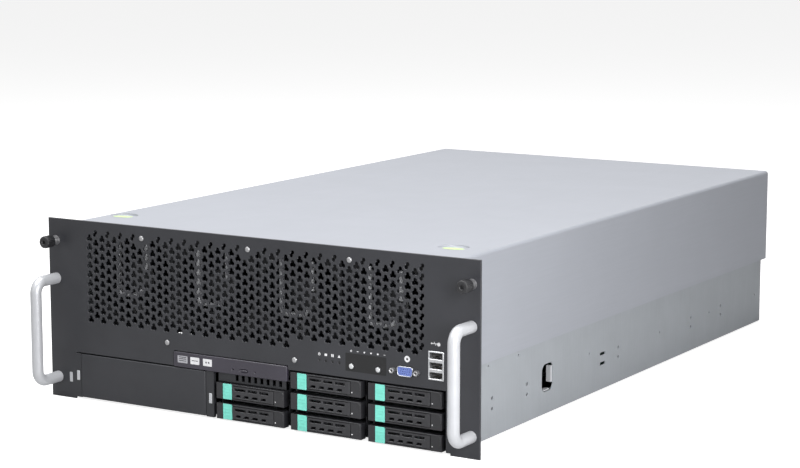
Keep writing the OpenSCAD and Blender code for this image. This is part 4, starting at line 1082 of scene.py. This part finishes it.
frame_low, frame_high = node_box("fan_frames")
fan_x = np.linspace(frame_low[0] + FAN_SIZE / 2, frame_high[0] - FAN_SIZE / 2, 4)
fan_z = (frame_low[2] + frame_high[2]) / 2
for n, x in enumerate(fan_x, 1):
    low, high = node_box(f"fan_rotor_{n}")
    front, rear = low[1] - 0.5, high[1]
    hub_end = rear - 4.0
    dome = [(front, 0), (front, 13), (front + 0.8, 16), (front + 2.5, 17.8), (front + 4, 18)]
    profile = dome + [(hub_end, 18), (hub_end, 6), (rear, 2.4), (rear, 0)]
    hub = revolve(profile, (x, 0, fan_z), 48)
    blades = [blade((x, fan_z), k * 2 * np.pi / BLADES, 17.0, 42.0, front + 3, 22) for k in range(BLADES)]
    piece(f"rotor_{n}", gather(hub, *blades), f"fan_{n}", "fan_black", fan_black, (f"fan_rotor_{n}",))

# %% Guards in front of the fans
bail_low, bail_high = node_box("fan_bails")
for n, x in enumerate(fan_x, 1):
    y = (bail_low[1] + bail_high[1]) / 2
    angle = np.radians(np.linspace(0, 90, 7))
    turn = np.stack([-9 - 5 * np.sin(angle[::-1]), 112 - 5 * np.cos(angle[::-1])], -1)
    flat = np.concatenate([[[-14, 160]], turn, [[4, 107]], [[12, 109], [14, 114]]])
    long_leg = np.stack([x - 4 + flat[:, 0], np.full(len(flat), y), flat[:, 1]], -1)
    short_leg = np.array([[x + 15.5, y, z] for z in (131, 140, 150, 158)])
    legs = gather(sweep(long_leg, 2.6, (0, 1, 0), 12), sweep(short_leg, 2.2, (0, 1, 0), 12))
    piece(f"fan_guard_{n}", legs, "chassis", "bail_bright", bail_bright, ("fan_bails",))

# %% [markdown]
# ## Sides and rear
#
# The right wall has a tall window whose lip is folded out of the same sheet. The lip is given the grips'
# brighter satin finish, which paints a highlight on it. At the rear, each supply gets a wire guard over its
# air holes and three inlet pins.

# %% Lip of the side window, with a painted highlight
pan_high = node_box("base_pan")[1]
WINDOW_Y = FACE + 168
lip = [
    block((pan_high[0] - 6, WINDOW_Y + 19.5, 30), (pan_high[0] - 0.6, WINDOW_Y + 22.6, 46)),
    block((pan_high[0] - 6, WINDOW_Y + 6, 23.4), (pan_high[0] - 0.8, WINDOW_Y + 17, 25)),
]
# The lip's brighter satin finish is a painted highlight: the real lip is the wall's own zinc sheet.
piece("window_lip_highlight", gather(*lip), "chassis", "handle_satin", handle_satin, bevel=0.5)

# %% Guards and pins of the supplies
PINS = ((13, -2), (18, 2), (23, -2))
PIN_Y = (348, 357)
REAR_FACE = node_box("rear_panel")[1][1] + 0.4


def pin(x, z):
    """One flat inlet pin."""
    return block((x - 0.9, PIN_Y[0], z - 2.2), (x + 0.9, PIN_Y[1], z + 2.2))


for n in (1, 2):
    low, high = node_box(f"power_supply_{n}")
    mid = ((low[0] + high[0]) / 2 + 15.75, (low[2] + high[2]) / 2)
    rings = []
    for r in (4.5, 9, 13.5):
        angle = np.linspace(0, 2 * np.pi, 33)
        flat = [mid[0] + r * np.cos(angle), np.full(33, REAR_FACE + 0.9), mid[1] + r * np.sin(angle)]
        path = np.stack(flat, -1)
        rings.append(sweep(path, 0.6, (0, 1, 0), 8))
    cross = [
        block((mid[0] - 14, REAR_FACE + 0.3, mid[1] - 0.6), (mid[0] + 14, REAR_FACE + 1.2, mid[1] + 0.6)),
        block((mid[0] - 0.6, REAR_FACE + 0.3, mid[1] - 14), (mid[0] + 0.6, REAR_FACE + 1.2, mid[1] + 14)),
    ]
    piece(f"supply_guard_{n}", gather(*rings, *cross), f"supply_{n}", "fin_aluminium", fin_aluminium)
    pins = [pin(low[0] + x, mid[1] + z) for x, z in PINS]
    piece(f"inlet_pins_{n}", gather(*pins), f"supply_{n}", None, contact_gold, bevel=0.2)

# %% [markdown]
# ## Main board
#
# With the cover lifted, the boards show. Capacitors are short turned cans, and chips are low dark blocks.

# %% Parts of the board
board_low, board_high = node_box("main_board")
board_top = board_low[2] + 1.6
CAN = [(0, 0), (0, 3.1), (0.8, 3.3), (1.2, 3.0), (1.6, 3.2), (10.2, 3.2), (10.8, 2.8), (10.8, 2.2), (10.5, 0)]
cans = [
    revolve(CAN, (board_low[0] + 14 + 9 * i, board_low[1] + 160 + 10 * j, board_top), 20, "z")
    for i in range(7) for j in range(2)
]
piece("capacitors", gather(*cans), "chassis", None, fin_aluminium)
chip_spots = [
    (30, 200, 15, 15), (70, 205, 22, 22), (36, 250, 12, 20),
    (110, 175, 9, 9), (70, 270, 14, 14), (24, 300, 18, 10),
]
corner = np.array([board_low[0], board_low[1], board_top])
chips = [block(corner + [x, y, 0], corner + [x + w, y + d, 2]) for x, y, w, d in chip_spots]
piece("board_chips", gather(*chips), "chassis", None, pit_black, bevel=0.3)

# %% [markdown]
# ## Floor, light and camera

# %% Studio
AMBIENT = 0.07
FLOOR_GLOW = 0.85

world = bpy.data.worlds.new("studio")
bpy.context.scene.world = world
world.use_nodes = True
sky, links = world.node_tree.nodes, world.node_tree.links
back = sky["Background"]
back.inputs["Color"].default_value = (1, 1, 1, 1)
path = sky.new("ShaderNodeLightPath")
seen = path.outputs["Is Camera Ray"]
for ray in ("Is Glossy Ray", "Is Transmission Ray"):
    either = sky.new("ShaderNodeMath")
    either.operation = "MAXIMUM"
    links.new(seen, either.inputs[0])
    links.new(path.outputs[ray], either.inputs[1])
    seen = either.outputs["Value"]
level = sky.new("ShaderNodeMapRange")
level.inputs["To Min"].default_value = AMBIENT
level.inputs["To Max"].default_value = 1.0
links.new(seen, level.inputs["Value"])
links.new(level.outputs["Result"], back.inputs["Strength"])

floor_mesh = bpy.data.meshes.new("floor")
far = 12.0
floor_mesh.from_pydata([(-far, -far, 0), (far, -far, 0), (far, far, 0), (-far, far, 0)], [], [(0, 1, 2, 3)])
floor = bpy.data.objects.new("floor", floor_mesh)
bpy.context.scene.collection.objects.link(floor)
floor_white = bpy.data.materials.new("floor_white")
floor_white.use_nodes = True
paper = floor_white.node_tree.nodes["Principled BSDF"]
paper.inputs["Base Color"].default_value = (0.6, 0.6, 0.6, 1)
paper.inputs["Roughness"].default_value = 0.9
paper.inputs["Specular IOR Level"].default_value = 0.0
paper.inputs["Emission Color"].default_value = (1, 1, 1, 1)
direct = floor_white.node_tree.nodes.new("ShaderNodeLightPath")
glow = floor_white.node_tree.nodes.new("ShaderNodeMath")
glow.operation = "MULTIPLY"
glow.inputs[1].default_value = FLOOR_GLOW
floor_white.node_tree.links.new(direct.outputs["Is Camera Ray"], glow.inputs[0])
floor_white.node_tree.links.new(glow.outputs["Value"], paper.inputs["Emission Strength"])
floor_mesh.materials.append(floor_white)
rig.stage(floor)


def softbox(name, place, aim, size, power):
    """An area lamp at a place, turned to face a point."""
    lamp = bpy.data.lights.new(name, "AREA")
    lamp.shape = "RECTANGLE"
    lamp.size, lamp.size_y = size
    lamp.energy = power
    thing = bpy.data.objects.new(name, lamp)
    thing.location = place
    away = np.array(place) - np.array(aim)
    flat = math.hypot(away[0], away[1])
    thing.rotation_euler = (math.atan2(flat, away[2]), 0, math.atan2(away[0], -away[1]))
    bpy.context.scene.collection.objects.link(thing)


softbox("top_light", (-0.35, -0.4, 2.1), (0, -0.1, 0.17), (2.0, 2.0), 68)
softbox("right_light", (0.95, -0.9, 0.42), (0.21, -0.4, 0.1), (0.6, 0.6), 13)

camera = bpy.data.cameras.new("camera")
camera.lens = 97.0
camera.sensor_width = 36.0
eye = bpy.data.objects.new("camera", camera)
eye.location = (1.132, -1.595 + FACE * MM, 0.486)
eye.rotation_euler = (math.radians(90 - 8.91), 0, math.radians(31.36))
bpy.context.scene.collection.objects.link(eye)
bpy.context.scene.camera = eye
bpy.context.scene.view_settings.view_transform = "Standard"

# %% Sizes and finish
print("pieces made:", len(made))
sizes = {"cad": [list(map(float, corner)) for corner in cad_bounds]}
sizes["visual"] = [list(map(float, corner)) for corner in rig.bounds()]
with open("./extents.json", "w") as out:
    json.dump(sizes, out)
